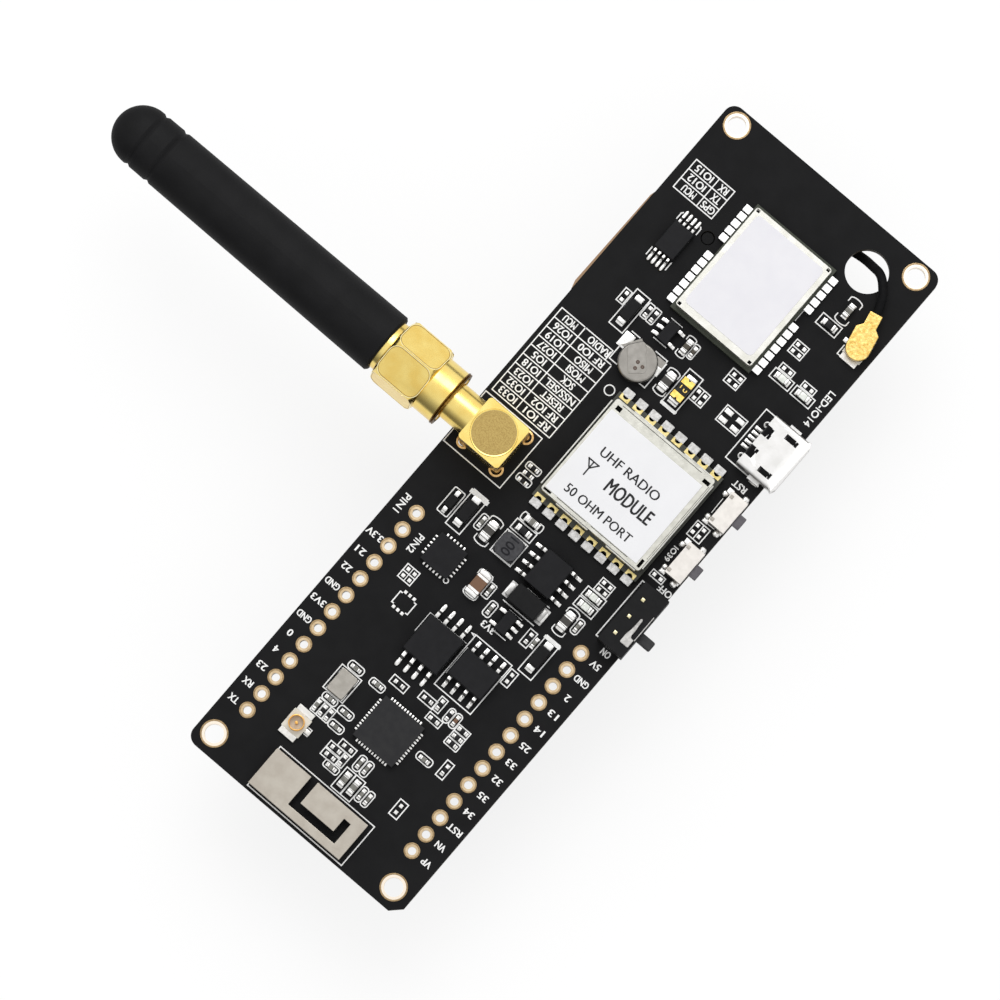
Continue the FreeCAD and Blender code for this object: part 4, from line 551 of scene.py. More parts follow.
# three ceramic parts are of the brown kind, the others are grey
brownParts = [(-1.7, -13.9), (6.75, -27.8), (-1.37, 23.3)]
setTone(bpy.data.objects["ceramic_capacitors_fine"],
        lambda at: any(abs(at.x - x) < 1.2 and abs(at.y - y) < 1.6 for x, y in brownParts))
print("edges softened:", len(edgeWidths) + len(movingParts))


# Solder: domed cushions on pads and lead feet, flat squares on module edges, metal ends of the ceramic parts

solder = {
    "wobble": 0.06, "seed": 7, "padCrease": 0.75, "dropCrease": 0.15, "climbCrease": 0.3, "padRise": 0.12,
    "footLong": 0.62, "footRise": 0.4, "footWide": 0.24, "footInset": 0.42, "longPad": 0.62, "edgeRound": 0.05,
    "bandReach": 0.19, "bandGrow": 0.012, "bandRound": 0.09, "climb": 0.85, "climbTop": 1.65,
    # share of a module pad's full size that is soldered: all of it a little over, the radio module's shorter
    "padShare": 0.52, "shorter": 0.82, "moved": 0.12,
    # the pads beside the connector are bare: left of, middle and half length
    "bare": (-8.2, 0.4, 3.4),
    # width, reach outwards and back, and thickness of the power diode's pads
    "diodePad": (2.12, 0.28, 0.75, 0.1),
    "leaded": ["amplifier_chip", "flash_chip", "memory_chip", "charger_chip", "converter_chips", "power_diode",
               "small_diodes"],
    # where the painted shade on the long leads' bends starts and ends, and the width of the narrow band at its
    # ends
    "bend": (0.52, 0.82), "bendFade": 0.03,
    # round drops at the corners of the buttons and the ears of the usb shell: middle, size
    "drops": [((13.39, 13.1, 1.7), (1.0, 0.95, 0.9)), ((15.72, 14.1, 1.65), (1.0, 1.0, 0.8)),
              ((13.55, 9.75, 1.7), (0.95, 0.9, 0.9)), ((15.66, 8.78, 1.65), (1.0, 1.0, 0.8)),
              ((13.39, 5.3, 1.7), (1.0, 0.95, 0.9)), ((15.72, 6.3, 1.65), (1.0, 1.0, 0.8)),
              ((13.55, 1.95, 1.7), (0.95, 0.9, 0.9)), ((15.66, 1.0, 1.65), (1.0, 1.0, 0.8)),
              ((15.05, 16.3, 1.6), (1.9, 0.8, 0.5)), ((14.9, 24.15, 1.6), (1.5, 0.5, 0.4))],
}


def makeCushionTree(material):
    # one soft cube on every point, as large as the point says and a little more or less by chance
    tree = bpy.data.node_groups.new("solder cushions", "GeometryNodeTree")
    for name, kind in (("Geometry", "Geometry"), ("Wobble", "Float"), ("Crease", "Float"), ("Seed", "Int")):
        tree.interface.new_socket(name, in_out="INPUT", socket_type="NodeSocket" + kind)
    tree.interface.new_socket("Geometry", in_out="OUTPUT", socket_type="NodeSocketGeometry")
    start = addNode(tree, "NodeGroupInput").outputs
    cube = addNode(tree, "GeometryNodeMeshCube")
    cushion = addNode(tree, "GeometryNodeSubdivisionSurface", {
        "Level": 2, "Mesh": cube, "Edge Crease": start["Crease"], "Vertex Crease": start["Crease"]})
    size = addNode(tree, "GeometryNodeInputNamedAttribute", {"data_type": "FLOAT_VECTOR", "Name": "size"})
    less = addNode(tree, "ShaderNodeMath", {"operation": "SUBTRACT", 0: 1.0, 1: start["Wobble"]})
    more = addNode(tree, "ShaderNodeMath", {"operation": "ADD", 0: 1.0, 1: start["Wobble"]})
    vary = addNode(tree, "FunctionNodeRandomValue", {"data_type": "FLOAT_VECTOR", 0: less, 1: more,
                                                     "Seed": start["Seed"]})
    full = size.outputs["Attribute"]
    scale = addNode(tree, "ShaderNodeVectorMath", {"operation": "MULTIPLY", 0: full, 1: vary})
    placed = addNode(tree, "GeometryNodeInstanceOnPoints", {"Points": start["Geometry"], "Instance": cushion,
                                                            "Scale": scale})
    real = addNode(tree, "GeometryNodeRealizeInstances", {"Geometry": placed})
    coloured = addNode(tree, "GeometryNodeSetMaterial", {"Material": material, "Geometry": real})
    addNode(tree, "NodeGroupOutput", {"Geometry": coloured})
    return tree


def makeCushions(name, spots, crease, material):
    # spots: middle and full size of each cushion
    places, sizes = zip(*spots)
    points = bpy.data.meshes.new(name + "_points")
    points.from_pydata(places, [], [])
    full = points.attributes.new("size", "FLOAT_VECTOR", "POINT")
    full.data.foreach_set("vector", [c for size in sizes for c in size])
    holder = addObject(name, points)
    grown = holder.modifiers.new("Cushions", "NODES")
    grown.node_group = makeCushionTree(material)
    values = {"Wobble": solder["wobble"], "Crease": crease, "Seed": solder["seed"]}
    for item in grown.node_group.interface.items_tree:
        if item.name in values:
            grown[item.identifier] = values[item.name]
    finishPiece(name, evaluatedMesh(holder, name), material, "tin_plating")


def within(at, low, high, room=0.1):
    return all(low[i] - room < at[i] < high[i] + room for i in range(3))


def padSpots():
    right, centre, half = solder["bare"]
    for low, high in islandsOf("tinned_pads"):
        middle, size = (low + high) / 2, high - low
        if high.x >= right or abs(middle.y - centre) >= half:
            yield (middle.x, middle.y, high.z), (size.x, size.y, solder["padRise"])


def leadPlaces():
    # each lead's box, the axis along it, whether it points up that axis, and its chip
    chips = [((low + high) / 2, name) for name in solder["leaded"] for low, high in islandsOf(name)]
    for low, high in islandsOf("chip_leads"):
        middle = (low + high) / 2
        chip, name = min(chips, key=lambda c: (c[0].xy - middle.xy).length)
        axis = 0 if high.x - low.x > high.y - low.y else 1
        yield low, high, axis, middle[axis] > chip[axis], name


def footSpots():
    # the outer end of each lead; the power diode has its own solder
    for low, high, axis, upwards, name in leadPlaces():
        if high.z - low.z < 0.3 or name == "power_diode":
            continue
        way, end = (1, high[axis]) if upwards else (-1, low[axis])
        place = [(low.x + high.x) / 2, (low.y + high.y) / 2, low.z + 0.06]
        place[axis] = end - way * solder["footLong"] * solder["footInset"]
        size = [(high - low)[1 - axis] + solder["footWide"]] * 3
        size[axis], size[2] = solder["footLong"], solder["footRise"]
        if name in ("amplifier_chip", "flash_chip"):
            size[axis] += solder["longPad"]
            place[axis] += way * solder["longPad"] / 2
        yield place, size


def leadBends():
    # where the long narrow leads go down from shoulder to foot: box, axis, start and end of the bend
    near, far = solder["bend"]
    for low, high, axis, upwards, name in leadPlaces():
        size = high - low
        if size.z >= 0.5 and 1.1 < size[axis] < 1.6 and size[1 - axis] <= 0.5:
            ends = (high[axis] - far, high[axis] - near) if upwards else (low[axis] + near, low[axis] + far)
            yield low, high, axis, *ends


def cutBends(bm):
    # a pair of cuts at both ends of every bend, so that its painted shade ends sharply
    fine = solder["bendFade"]
    for low, high, axis, start, end in leadBends():
        direction = Vector((1 - axis, axis, 0))
        for place in (start - fine, start, end, end + fine):
            around = set()
            for face in bm.faces:
                if within(face.calc_center_median(), low, high, 0.01):
                    around.update([face], face.edges, face.verts)
            bmesh.ops.bisect_plane(bm, geom=list(around), dist=0.0005, plane_co=direction * place,
                                   plane_no=direction)


def diodeLeads():
    # the power diode's two broad leads and the way that they point along X
    low, high = boxOf("power_diode")
    for a, b in islandsOf("chip_leads"):
        beside = low.y < (a.y + b.y) / 2 < high.y and min(abs(a.x - low.x), abs(b.x - high.x)) < 1.6
        if beside and b.y - a.y > 1.2:
            yield a, b, 1 if a.x > low.x + 1 else -1


def makeDiodeSolder():
    # two broad flat pads that show outside the power diode's leads
    wide, out, back, high = solder["diodePad"]
    bm = bmesh.new()
    for a, b, way in diodeLeads():
        end, middle = (b.x if way > 0 else a.x), (a.y + b.y) / 2
        left, right = sorted((end - way * back, end + way * out))
        addBoxes(bm, [(left, right, middle - wide / 2, middle + wide / 2)], boardTop - 0.05, boardTop + high)
    rounded(bm, 0.04)
    pieceFrom("diode_solder", bm, edgeTin, "tin_plating")


def makeEdgeSolder():
    # flat squares of solder along both modules' edges
    bm = bmesh.new()
    for low, high in islandsOf("module_solder"):
        middle, size = (low + high) / 2, high - low
        if low.x > -4 and abs(low.y) < 16:
            # the outer third of the radio module's pads is bare board
            size.y *= solder["shorter"]
            middle.y += -solder["moved"] if middle.y > 5 else solder["moved"]
        half = Vector((size.x * solder["padShare"], size.y * solder["padShare"], size.z))
        place = Vector((middle.x, middle.y, low.z + 0.02))
        addBox(bm, place - half, place + half)
    rounded(bm, solder["edgeRound"])
    pieceFrom("module_edge_solder", bm, edgeTin, "tin_plating", nodes=["module_solder"])


def makeBands():
    # the metal ends reach a fifth of the way over each ceramic body, and solder climbs the large ones
    bm = bmesh.new()
    drops = []
    grow, climb = Vector((solder["bandGrow"],) * 3), solder["climb"]
    for low, high in islandsOf("ceramic_capacitors"):
        axis = 0 if high.y - low.y + 0.01 < high.x - low.x <= 1.1 else 1
        reach = solder["bandReach"] * (high - low)[axis]
        for way in (-1, 1):
            a, b = low.copy(), high.copy()
            if way < 0:
                b[axis] = a[axis] + reach
            else:
                a[axis] = b[axis] - reach
            addBox(bm, a - grow, b + grow)
            wide = (b - a)[1 - axis]
            if wide > 1.1:
                middle, size = (a + b) / 2, Vector((wide * 0.98, wide * 0.98, 0.8))
                middle[axis] += way * 0.62 * climb
                middle.z, size[axis] = solder["climbTop"], climb
                drops.append((middle, size))
    rounded(bm, solder["bandRound"])
    pieceFrom("capacitor_bands", bm, endTin, "tin_plating")
    makeCushions("capacitor_solder", drops, solder["climbCrease"], endTin)


def makeEyeletRims():
    # a darker outer edge on every plated ring
    bm = bmesh.new()
    for low, high in islandsOf("plated_eyelets"):
        radius = (high.x - low.x) / 2
        profile = [(-0.03, radius + 0.02), (0.012, radius + 0.02), (0.02, radius - 0.1), (0.012, radius - 0.18),
                   (-0.03, radius - 0.18)]
        addUpright(bm, profile, 32, [((low.x + high.x) / 2, (low.y + high.y) / 2, high.z)])
    pieceFrom("eyelet_rims", bm, ringEdgeGold, "gold_plating")


makeBands()
makeEyeletRims()
makeCushions("pad_solder", padSpots(), solder["padCrease"], finishes["tin_plating"])
makeCushions("lead_solder", footSpots(), solder["dropCrease"], endTin)
makeCushions("corner_solder", solder["drops"], solder["dropCrease"], finishes["tin_plating"])
makeDiodeSolder()
makeEdgeSolder()
leads = softened("chip_leads", 0.03, leadTin, prepare=cutBends)
bends, broad = list(leadBends()), list(diodeLeads())
# the bends get the painted shade in full, the power diode's broad leads half of it for their shaded middle
setTone(leads, lambda at: any(start - 0.005 < at[axis] < end + 0.005 and within(at, low, high)
                              for low, high, axis, start, end in bends)
        or 0.5 * any(within(at, low, high) for low, high, way in broad))
print("solder made")


# White printing on the board: lines and frames round the parts, tables, pin names

printing = {
    "line": 0.14, "thick": 0.012, "sink": 0.005, "stagger": 0.0011,
    "arcSteps": 5, "archRise": 0.38, "archFoot": 0.45,
    # letters are printed twice, the second time a little to the side and higher, which makes them bolder
    "bold": 0.008, "lift": 0.006, "aside": 0.05, "higher": 0.0017,
    "pinNameHigh": 0.86, "pinNamePitch": 0.68, "looseShare": 0.94, "tableHigh": 0.92, "tablePitch": 0.63,
}
# frames round parts: left, right, low, high, and the radius of round corners
partFrames = [
    (-2.3, -0.05, -29.35, -28.25), (1.5, 3.7, -28.6, -27.5), (3.6, 4.55, -28.5, -26.6),
    (3.7, 5.7, -29.85, -28.9), (5.3, 6.15, -28.8, -26.85, 0.4), (6.22, 7.15, -28.8, -26.85, 0.4),
    (7.25, 9.05, -28.7, -27.8), (7.25, 9.05, -29.65, -28.75), (7.2, 9.1, -30.6, -29.7, 0.15),
    (5.75, 7.95, -34.1, -33.1, 0.4), (8.95, 10.0, -34.1, -31.85), (7.75, 8.95, -41.1, -38.9),
    (-7.25, -5.15, -31.2, -30.15, 0.4), (-4.05, -2.0, -31.1, -30.1, 0.35), (-7.75, -4.75, -34.85, -31.35),
    (-7.2, -5.15, -35.9, -34.95, 0.4), (-4.75, -2.65, -36.0, -34.95, 0.4),
    (-4.55, -2.5, -37.95, -36.9, 0.4), (-7.2, -6.35, -37.85, -36.0, 0.1), (-6.3, -5.45, -37.85, -36.0, 0.1),
    (-5.4, -4.65, -37.85, -36.0, 0.1), (-2.0, 0.2, -38.95, -37.95), (-2.9, -0.75, -39.9, -39.0),
    (-2.9, -0.75, -41.0, -40.05), (-0.7, 0.1, -40.75, -39.0), (-1.9, 0.2, -41.85, -40.95, 0.3),
    (0.9, 1.9, -39.9, -37.85, 0.4), (1.98, 2.95, -39.9, -37.85, 0.4), (0.55, 1.95, -43.1, -40.15),
    (2.02, 3.4, -43.1, -40.15), (3.45, 4.35, -42.5, -40.5, 0.35), (4.4, 5.3, -42.5, -40.45, 0.35),
    (-6.95, 7.55, -49.35, -43.4), (-9.6, -7.75, -18.28, -17.35), (-9.6, -7.75, -19.25, -18.28),
    (-0.8, 0.2, -14.6, -12.65, 0.2), (0.7, 1.75, -16.2, -14.15, 0.35), (6.3, 7.4, -15.95, -13.8),
    (8.3, 10.3, -18.45, -13.15), (7.7, 8.75, -20.95, -18.85), (1.95, 7.5, -26.1, -18.55),
    (-15.9, -7.2, -3.6, 4.1), (-6.65, -4.65, 0.25, 1.15, 0.3), (-6.65, -4.65, -1.5, -0.6, 0.3),
    (-11.25, -9.72, -10.3, -6.8, 0.2), (-9.4, -7.25, -10.85, -5.6), (-6.72, -5.8, -9.05, -7.0, 0.3),
    (-3.3, -0.3, -6.3, -4.92), (-3.35, -0.25, -9.85, -6.65), (8.9, 10.75, -4.6, -3.7),
    (8.9, 10.75, -5.5, -4.6), (8.2, 11.0, -6.9, -5.6), (8.2, 11.0, -8.4, -7.1),
    (9.9, 10.85, -11.1, -9.1, 0.35), (12.75, 14.6, 0.05, 0.9), (12.98, 13.93, 6.58, 8.65),
    (13.93, 14.88, 6.58, 8.65), (-11.3, -10.35, 22.3, 24.15), (-10.2, -8.15, 19.7, 24.9),
    (-8.0, -7.15, 22.65, 24.65, 0.2), (-7.1, -6.15, 22.65, 24.65, 0.2), (-0.72, 0.05, 22.5, 24.45, 0.25),
    (4.5, 6.4, 23.2, 24.15), (4.5, 6.4, 24.15, 25.1), (0.62, 2.7, 16.4, 21.7), (2.75, 3.68, 18.95, 20.8),
    (3.68, 4.6, 18.95, 20.8), (6.8, 9.9, 19.1, 21.35), (8.5, 10.4, 28.55, 29.4), (11.85, 13.7, 28.55, 29.4),
    (8.25, 11.1, 27.1, 28.4), (11.5, 14.3, 27.1, 28.4), (8.0, 9.85, 30.8, 31.7), (8.0, 9.85, 31.7, 32.6),
    (8.3, 11.2, 35.5, 37.0),
]
# frames of the round-ended ceramic parts, drawn as two arches: left, right, low, high
archFrames = [
    (-2.68, -0.82, -15.8, -12.05), (-5.75, -4.0, -10.2, -6.4), (-3.2, -0.15, -4.75, -3.7),
    (8.15, 9.8, -12.4, -8.75), (-1.95, -0.8, 21.9, 24.8), (-1.2, 0.35, 16.9, 20.5),
    (9.6, 11.3, 37.25, 40.8),
]
# brackets, short lines beside chips, the buttons' outlines, marks across pad pairs: from x, y, to x, y, width
printedLines = [
    (-8.15, -20.4, -8.15, -22.0, 0.15), (-5.75, -20.4, -5.75, -22.0, 0.15),
    (-8.15, -20.4, -7.9, -20.4, 0.15), (-5.75, -20.4, -6.0, -20.4, 0.15), (-8.15, -22.0, -7.9, -22.0, 0.15),
    (-5.75, -22.0, -6.0, -22.0, 0.15), (-3.85, -20.05, 1.7, -20.05, 0.08),
    (-3.85, -20.05, -3.85, -22.8, 0.08), (2.15, -20.35, 7.45, -20.35, 0.08),
    (2.15, -20.35, 2.15, -24.2, 0.08), (1.4, -18.7, 1.95, -18.55, 0.12), (1.4, -18.7, 1.95, -18.85, 0.12),
    (1.7, -13.35, 6.35, -13.35, 0.14), (3.0, -10.45, 6.4, -10.55, 0.12), (2.9, -16.82, 4.95, -16.82, 0.13),
    (3.0, -13.75, 4.9, -13.75, 0.08), (12.65, -1.0, 12.65, -9.4, 0.15), (12.65, -1.0, 13.2, -1.0, 0.15),
    (12.65, -9.4, 13.2, -9.4, 0.15), (-4.9, 24.85, -3.2, 24.85, 0.1), (-5.0, 21.75, -3.15, 21.75, 0.14),
    (-7.4, 18.3, -7.4, 16.5, 0.15), (-7.4, 16.5, -6.3, 16.5, 0.15), (-1.95, 16.5, -1.95, 20.65, 0.15),
    (-3.0, 16.5, -1.95, 16.5, 0.15), (-3.7, 20.65, -1.95, 20.65, 0.15), (-7.4, 20.65, -6.2, 20.65, 0.15),
    (10.6, 16.45, 10.6, 23.9, 0.15), (10.6, 23.9, 12.1, 23.9, 0.15), (10.6, 16.45, 14.0, 16.45, 0.15),
    (-12.1, 28.75, -12.1, 29.8, 0.15), (-9.15, 28.75, -9.15, 29.8, 0.15), (-12.1, 34.3, -12.1, 35.1, 0.15),
    (-9.1, 34.3, -9.1, 35.1, 0.15), (-12.1, 35.1, -11.95, 35.3, 0.15), (-9.1, 35.1, -9.25, 35.3, 0.15),
    (12.65, 35.6, 12.65, 34.35, 0.14), (12.65, 34.35, 15.3, 34.35, 0.14), (6.38, 34.1, 6.38, 35.6, 0.1),
    (-5.85, -39.6, -5.35, -39.6, 0.12), (-5.35, -39.6, -5.35, -40.5, 0.12),
    (-5.85, -40.5, -5.35, -40.5, 0.12), (-9.4, -5.95, -7.25, -5.95, 0.55), (8.3, -13.4, 10.3, -13.4, 0.4),
    (0.62, 16.6, 2.7, 16.6, 0.3), (13.55, 12.5, 13.6, 10.4, 0.1), (13.64, 9.05, 15.1, 9.08, 0.1),
    (-8.68, -18.28, -8.68, -17.35, 0.1), (-8.68, -19.25, -8.68, -18.28, 0.1),
]
tables = [
    # left, middle and right edge, top line, row pitch, how much narrower the top row is, rows of two cells
    ((-14.87, -11.3, -8.95), 41.15, 1.42, 0, [("IO15", "RX"), ("IO12", "TX"), ("MCU", "GPS")]),
    ((-15.5, -11.85, -6.62), 17.42, 1.413, 1.0,
     [("MCU", "RADIO"), ("IO26", "RF IO0"), ("IO19", "MISO"), ("IO27", "MOSI"), ("IO5", "SCK"),
      ("IO18", "NSS/SEL"), ("IO23", "RESET"), ("IO32", "RF IO2"), ("IO33", "RF IO1")]),
]
pinNames = {
    "first": -12.2, "pitch": 2.54,
    # each row's middle and its names
    "rows": [(-14.85, ["", "", "3.3V", "21", "22", "GND", "3V3", "GND", "0", "4", "23", "RX", "TX"]),
             (14.9, ["5V", "GND", "2", "13", "14", "25", "33", "32", "35", "34", "RST", "VN", "VP"])],
}
loosePrint = [
    # words, middle x, middle y, turn, share of the usual size
    ("PIN1", -14.8, -12.35, -90, 1), ("PIN2", -10.5, -15.0, -90, 1), ("RST", 14.1, 14.85, 180, 1),
    ("IO39", 13.12, 3.6, -90, 0.8), ("OFF", 15.45, -0.3, 180, 1), ("ON", 14.9, -10.35, 180, 1),
    ("3V3", 2.4, -16.95, 180, 1), ("LED-IO14", 15.3, 27.95, -90, 1),
]


def inkLine(bm, start, end, width, level=boardTop):
    a, b = Vector(start), Vector(end)
    along = (b - a).normalized()
    side = Vector((-along.y, along.x)) * width / 2
    reach = along * width / 2
    # each line ends at its own height, so that no two crossing lines share a face
    low = level - printing["sink"]
    high = level + printing["thick"] + printing["stagger"] * (len(bm.verts) // 8 % 11)
    ring = [a - reach - side, b + reach - side, b + reach + side, a - reach + side]
    under, over = ([bm.verts.new((p.x, p.y, z)) for p in ring] for z in (low, high))
    bm.faces.new(over)
    bm.faces.new(under[::-1])
    for i in range(4):
        j = (i + 1) % 4
        bm.faces.new((under[i], under[j], over[j], over[i]))


def inkPath(bm, points, width=printing["line"], level=boardTop):
    for a, b in zip(points, points[1:]):
        inkLine(bm, a, b, width, level)


def inkFrame(bm, left, right, low, high, radius=0):
    path = [(left, low), (right, low), (right, high), (left, high)]
    if radius:
        path = roundedOutline(left, right, low, high, radius, printing["arcSteps"])
    inkPath(bm, path + path[:1])


def inkArches(bm, left, right, low, high):
    # two arches facing each other, open at the middle of the long sides
    lying = right - left > high - low
    ends, sides = ((left, right), (low, high)) if lying else ((low, high), (left, right))
    middle, half = sum(sides) / 2, (sides[1] - sides[0]) / 2
    rise = printing["archRise"] * half
    for end, way in ((ends[1], 1), (ends[0], -1)):
        foot = end - way * (rise + printing["archFoot"])
        arc = [(end + way * (x - rise), y) for x, y in arcPoints(0, 0, rise, half, -90, 90, 8)]
        path = [(foot, -half)] + arc + [(foot, half)]
        inkPath(bm, [(x, middle + y) if lying else (middle + y, x) for x, y in path])


def printWords(bm, words, x, y, high, pitch, turn, bold=0.0, level=boardTop):
    # capitals high tall and pitch apart, centred on x and y, as thin solid letters
    text = bpy.data.curves.new("words", "FONT")
    text.body = words
    text.size = 1.0
    text.resolution_u = 3
    text.extrude = 0.01
    text.offset = bold
    text.align_x, text.align_y = "CENTER", "CENTER"
    mesh = evaluatedMesh(bpy.data.objects.new("words", text), "words")
    bpy.data.curves.remove(text)
    left, right = (pick(v.co.x for v in mesh.vertices) for pick in (min, max))
    low, top = (pick(v.co.y for v in mesh.vertices) for pick in (min, max))
    centre = Matrix.Translation((-(right + left) / 2, -(top + low) / 2, 0))
    wide = pitch * (len(words) - 0.12 - 0.6 * words.count("."))
    size = Matrix.Diagonal((wide / (right - left), high / (top - low), 1, 1))
    place = Matrix.Translation((x, y, level + printing["lift"])) @ Matrix.Rotation(math.radians(turn), 4, "Z")
    mesh.transform(place @ size @ centre)
    bm.from_mesh(mesh)
    mesh.transform(Matrix.Translation((printing["aside"], 0, printing["higher"])))
    bm.from_mesh(mesh)
    bpy.data.meshes.remove(mesh)


def inkTable(bm, edges, top, pitch, narrowTop, rows):
    left, middle, right = edges
    low = top - pitch * len(rows)
    for i in range(len(rows) + 1):
        inkPath(bm, [(left, top - pitch * i), (right - (0 if i else narrowTop), top - pitch * i)])
    inkPath(bm, [(left, top), (left, low)])
    inkPath(bm, [(middle, top), (middle, low)])
    inkPath(bm, [(right, top - (pitch if narrowTop else 0)), (right, low)])
    if narrowTop:
        inkPath(bm, [(right - narrowTop, top), (right - narrowTop, top - pitch)])
    for i, cells in enumerate(rows):
        for words, x in zip(cells, ((left + middle) / 2, (middle + right) / 2)):
            y = top - pitch * (i + 0.5)
            printWords(bm, words, x, y, printing["tableHigh"], printing["tablePitch"], 180, printing["bold"])


def makePrinting():
    bm = bmesh.new()
    for sides in partFrames:
        inkFrame(bm, *sides)
    for sides in archFrames:
        inkArches(bm, *sides)
    for a, b, c, d, width in printedLines:
        inkLine(bm, (a, b), (c, d), width)
    for table in tables:
        inkTable(bm, *table)
    inkPath(bm, arcPoints(-4.9, 13.6, 0.62, 0.62, 0, 360, 20))    # mark beside the radio module
    inkPath(bm, arcPoints(-4.9, -16.0, 0.3, 0.3, 0, 360, 10))     # pin one of the USB bridge
    high, pitch, bold = printing["pinNameHigh"], printing["pinNamePitch"], printing["bold"]
    for x, names in pinNames["rows"]:
        for i, words in enumerate(names):
            if words:
                printWords(bm, words, x, pinNames["first"] - pinNames["pitch"] * i, high, pitch, 180, bold)
    for words, x, y, turn, share in loosePrint:
        printWords(bm, words, x, y, high * share, pitch * printing["looseShare"] * share, turn, bold)
    pieceFrom("board_printing", bm, silkInk, "solder_mask")


makePrinting()
print("printing made")


# Radio module: folded steel cover with cut corners and flaps, and its printed label

radioCover = {
    "foldRadius": 0.22, "flapThick": 0.16, "flapLow": 0.35, "flapDrop": 0.3, "gap": 0.04, "leftGap": 0.26,
    "flapRound": 0.05, "frontFlaps": [(-0.9, 4.0), (6.8, 11.3)], "sideFlap": (-0.2, 12.7),
    "notchDeep": 0.6, "slitDeep": 0.25,
    # left, right, near and far sides of the slits and of the cut corners
    "slits": [(11.5, 11.57, 1.0, 12.2), (4.0, 9.6, -0.32, -0.25), (-1.2, 3.2, -0.32, -0.25),
              (-2.3, 9.8, 12.9, 12.97)],
    "corners": [(-2.825, -2.075, 12.05, 12.65), (10.475, 11.425, 12.15, 12.65), (11.08, 11.48, -0.4, 0.7),
                (-3.15, -2.05, -0.54, -0.26)],
}
radioLabel = {
    "film": [(-3.08, -0.18), (10.88, -0.18), (10.88, 11.8), (-3.08, 11.8)],
    # words, middle, height, pitch, lift; the middle word is bolder, as it is printed twice
    "words": [("UHF RADIO", 3.55, 7.35, 1.2, 0.98, 0), ("MODULE", 5.55, 4.75, 1.75, 1.12, 0),
              ("MODULE", 5.6, 4.8, 1.75, 1.12, 0.004), ("50 OHM PORT", 3.65, 1.45, 1.15, 0.9, 0)],
    # middle, half height, half width and line of the antenna sign
    "sign": (-0.6, 4.75, 0.95, 0.75, 0.17),
}


def makeRadioCover():
    low, high = boxOf("radio_shield")
    holes = bmesh.new()
    addBoxes(holes, radioCover["corners"], high.z - radioCover["notchDeep"], high.z + 0.5)
    addBoxes(holes, radioCover["slits"], high.z - radioCover["slitDeep"], high.z + 0.5)
    # blurred pale mirror with fine stains
    coverSteel = finish("cover steel, tinned and folded", "#c3c2ba", "#b3b2aa", 0.9, 0.36, 1, 0.15, 0.01)
    softened("radio_shield", radioCover["foldRadius"], coverSteel, segments=3, cutter=holes)
    # flaps of the lid that clip over the frame on the sides that show
    thick, gap, leftGap = radioCover["flapThick"], radioCover["gap"], radioCover["leftGap"]
    ys, xs = (low.y - gap - thick, high.y + gap), (high.x + gap, low.x - leftGap - thick)
    flaps = [side + (y, y + thick) for side in radioCover["frontFlaps"] for y in ys]
    flaps += [(x, x + thick) + radioCover["sideFlap"] for x in xs]
    bm = bmesh.new()
    addBoxes(bm, flaps, low.z + radioCover["flapLow"], high.z - radioCover["flapDrop"])
    rounded(bm, radioCover["flapRound"])
    flapSteel = finish("lid flaps, bright tinned steel", "#cfcec8", "#bcbbb5", 1.0, 0.3, 1, 0.12, 0.006)
    pieceFrom("radio_cover_flaps", bm, flapSteel, "shield_steel")


def makeRadioLabel():
    # black words and a plain antenna sign, laid on a white film
    low, high = boxOf("radio_label")
    bm = bmesh.new()
    for words, x, y, tall, pitch, lift in radioLabel["words"]:
        printWords(bm, words, x, y, tall, pitch, 0, level=high.z + lift)
    x, y, half, wide, line = radioLabel["sign"]
    for start, end in (((x, y - half), (x, y + half)), ((x - wide, y + half), (x + wide, y + half)),
                       ((x - wide, y + half), (x, y)), ((x + wide, y + half), (x, y))):
        inkLine(bm, start, end, line, high.z)
    ink = finish("black label ink", "#1b1b1d", "#232325", 0.3, 0.5, 0, 0.08, 0.003, 0.2)
    pieceFrom("radio_label_print", bm, ink, "label_paper")
    bm = bmesh.new()
    addPlate(bm, radioLabel["film"], low.z, high.z)
    pieceFrom("radio_label_film", bm, finishes["label_paper"], "label_paper", nodes=["radio_label"])


makeRadioCover()
makeRadioLabel()
print("radio module made")


# Receiver: cover with a soft fold, cut corners and a wide plain label

receiver = {
    "foldRadius": 0.3, "notchDeep": 0.6,
    "label": (-4.95, 5.3, 27.1, 40.6, 0.6), "labelSteps": 6, "labelThick": 0.06,
    "corners": [(-5.425, -4.975, 40.7, 41.1), (5.375, 5.825, 40.7, 41.1), (-5.425, -4.975, 26.35, 26.75),
                (5.375, 5.825, 26.35, 26.75)],
}


def makeReceiverCover():
    top = boxOf("receiver_can")[1].z
    holes = bmesh.new()
    addBoxes(holes, receiver["corners"], top - receiver["notchDeep"], top + 0.5)
    coverSteel = finish("receiver cover, pale tinned steel", "#cdccc7", "#bfbeb6", 1.2, 0.42, 1, 0.15, 0.008)
    softened("receiver_can", receiver["foldRadius"], coverSteel, segments=4, cutter=holes)
    bm = bmesh.new()
    outline = roundedOutline(*receiver["label"], receiver["labelSteps"])
    addPlate(bm, outline, top, top + receiver["labelThick"])
    paper = finish("receiver label, satin film", "#e9e8ec", "#e5e4e9", 3.0, 0.5, 0, 0.2, 0.004, 0.3)
    pieceFrom("receiver_label_film", bm, paper, "label_paper", nodes=["receiver_label"])


makeReceiverCover()
print("receiver made")


# Antenna connector: nut with turned chamfers, matt cap, gold rings of solder round the legs

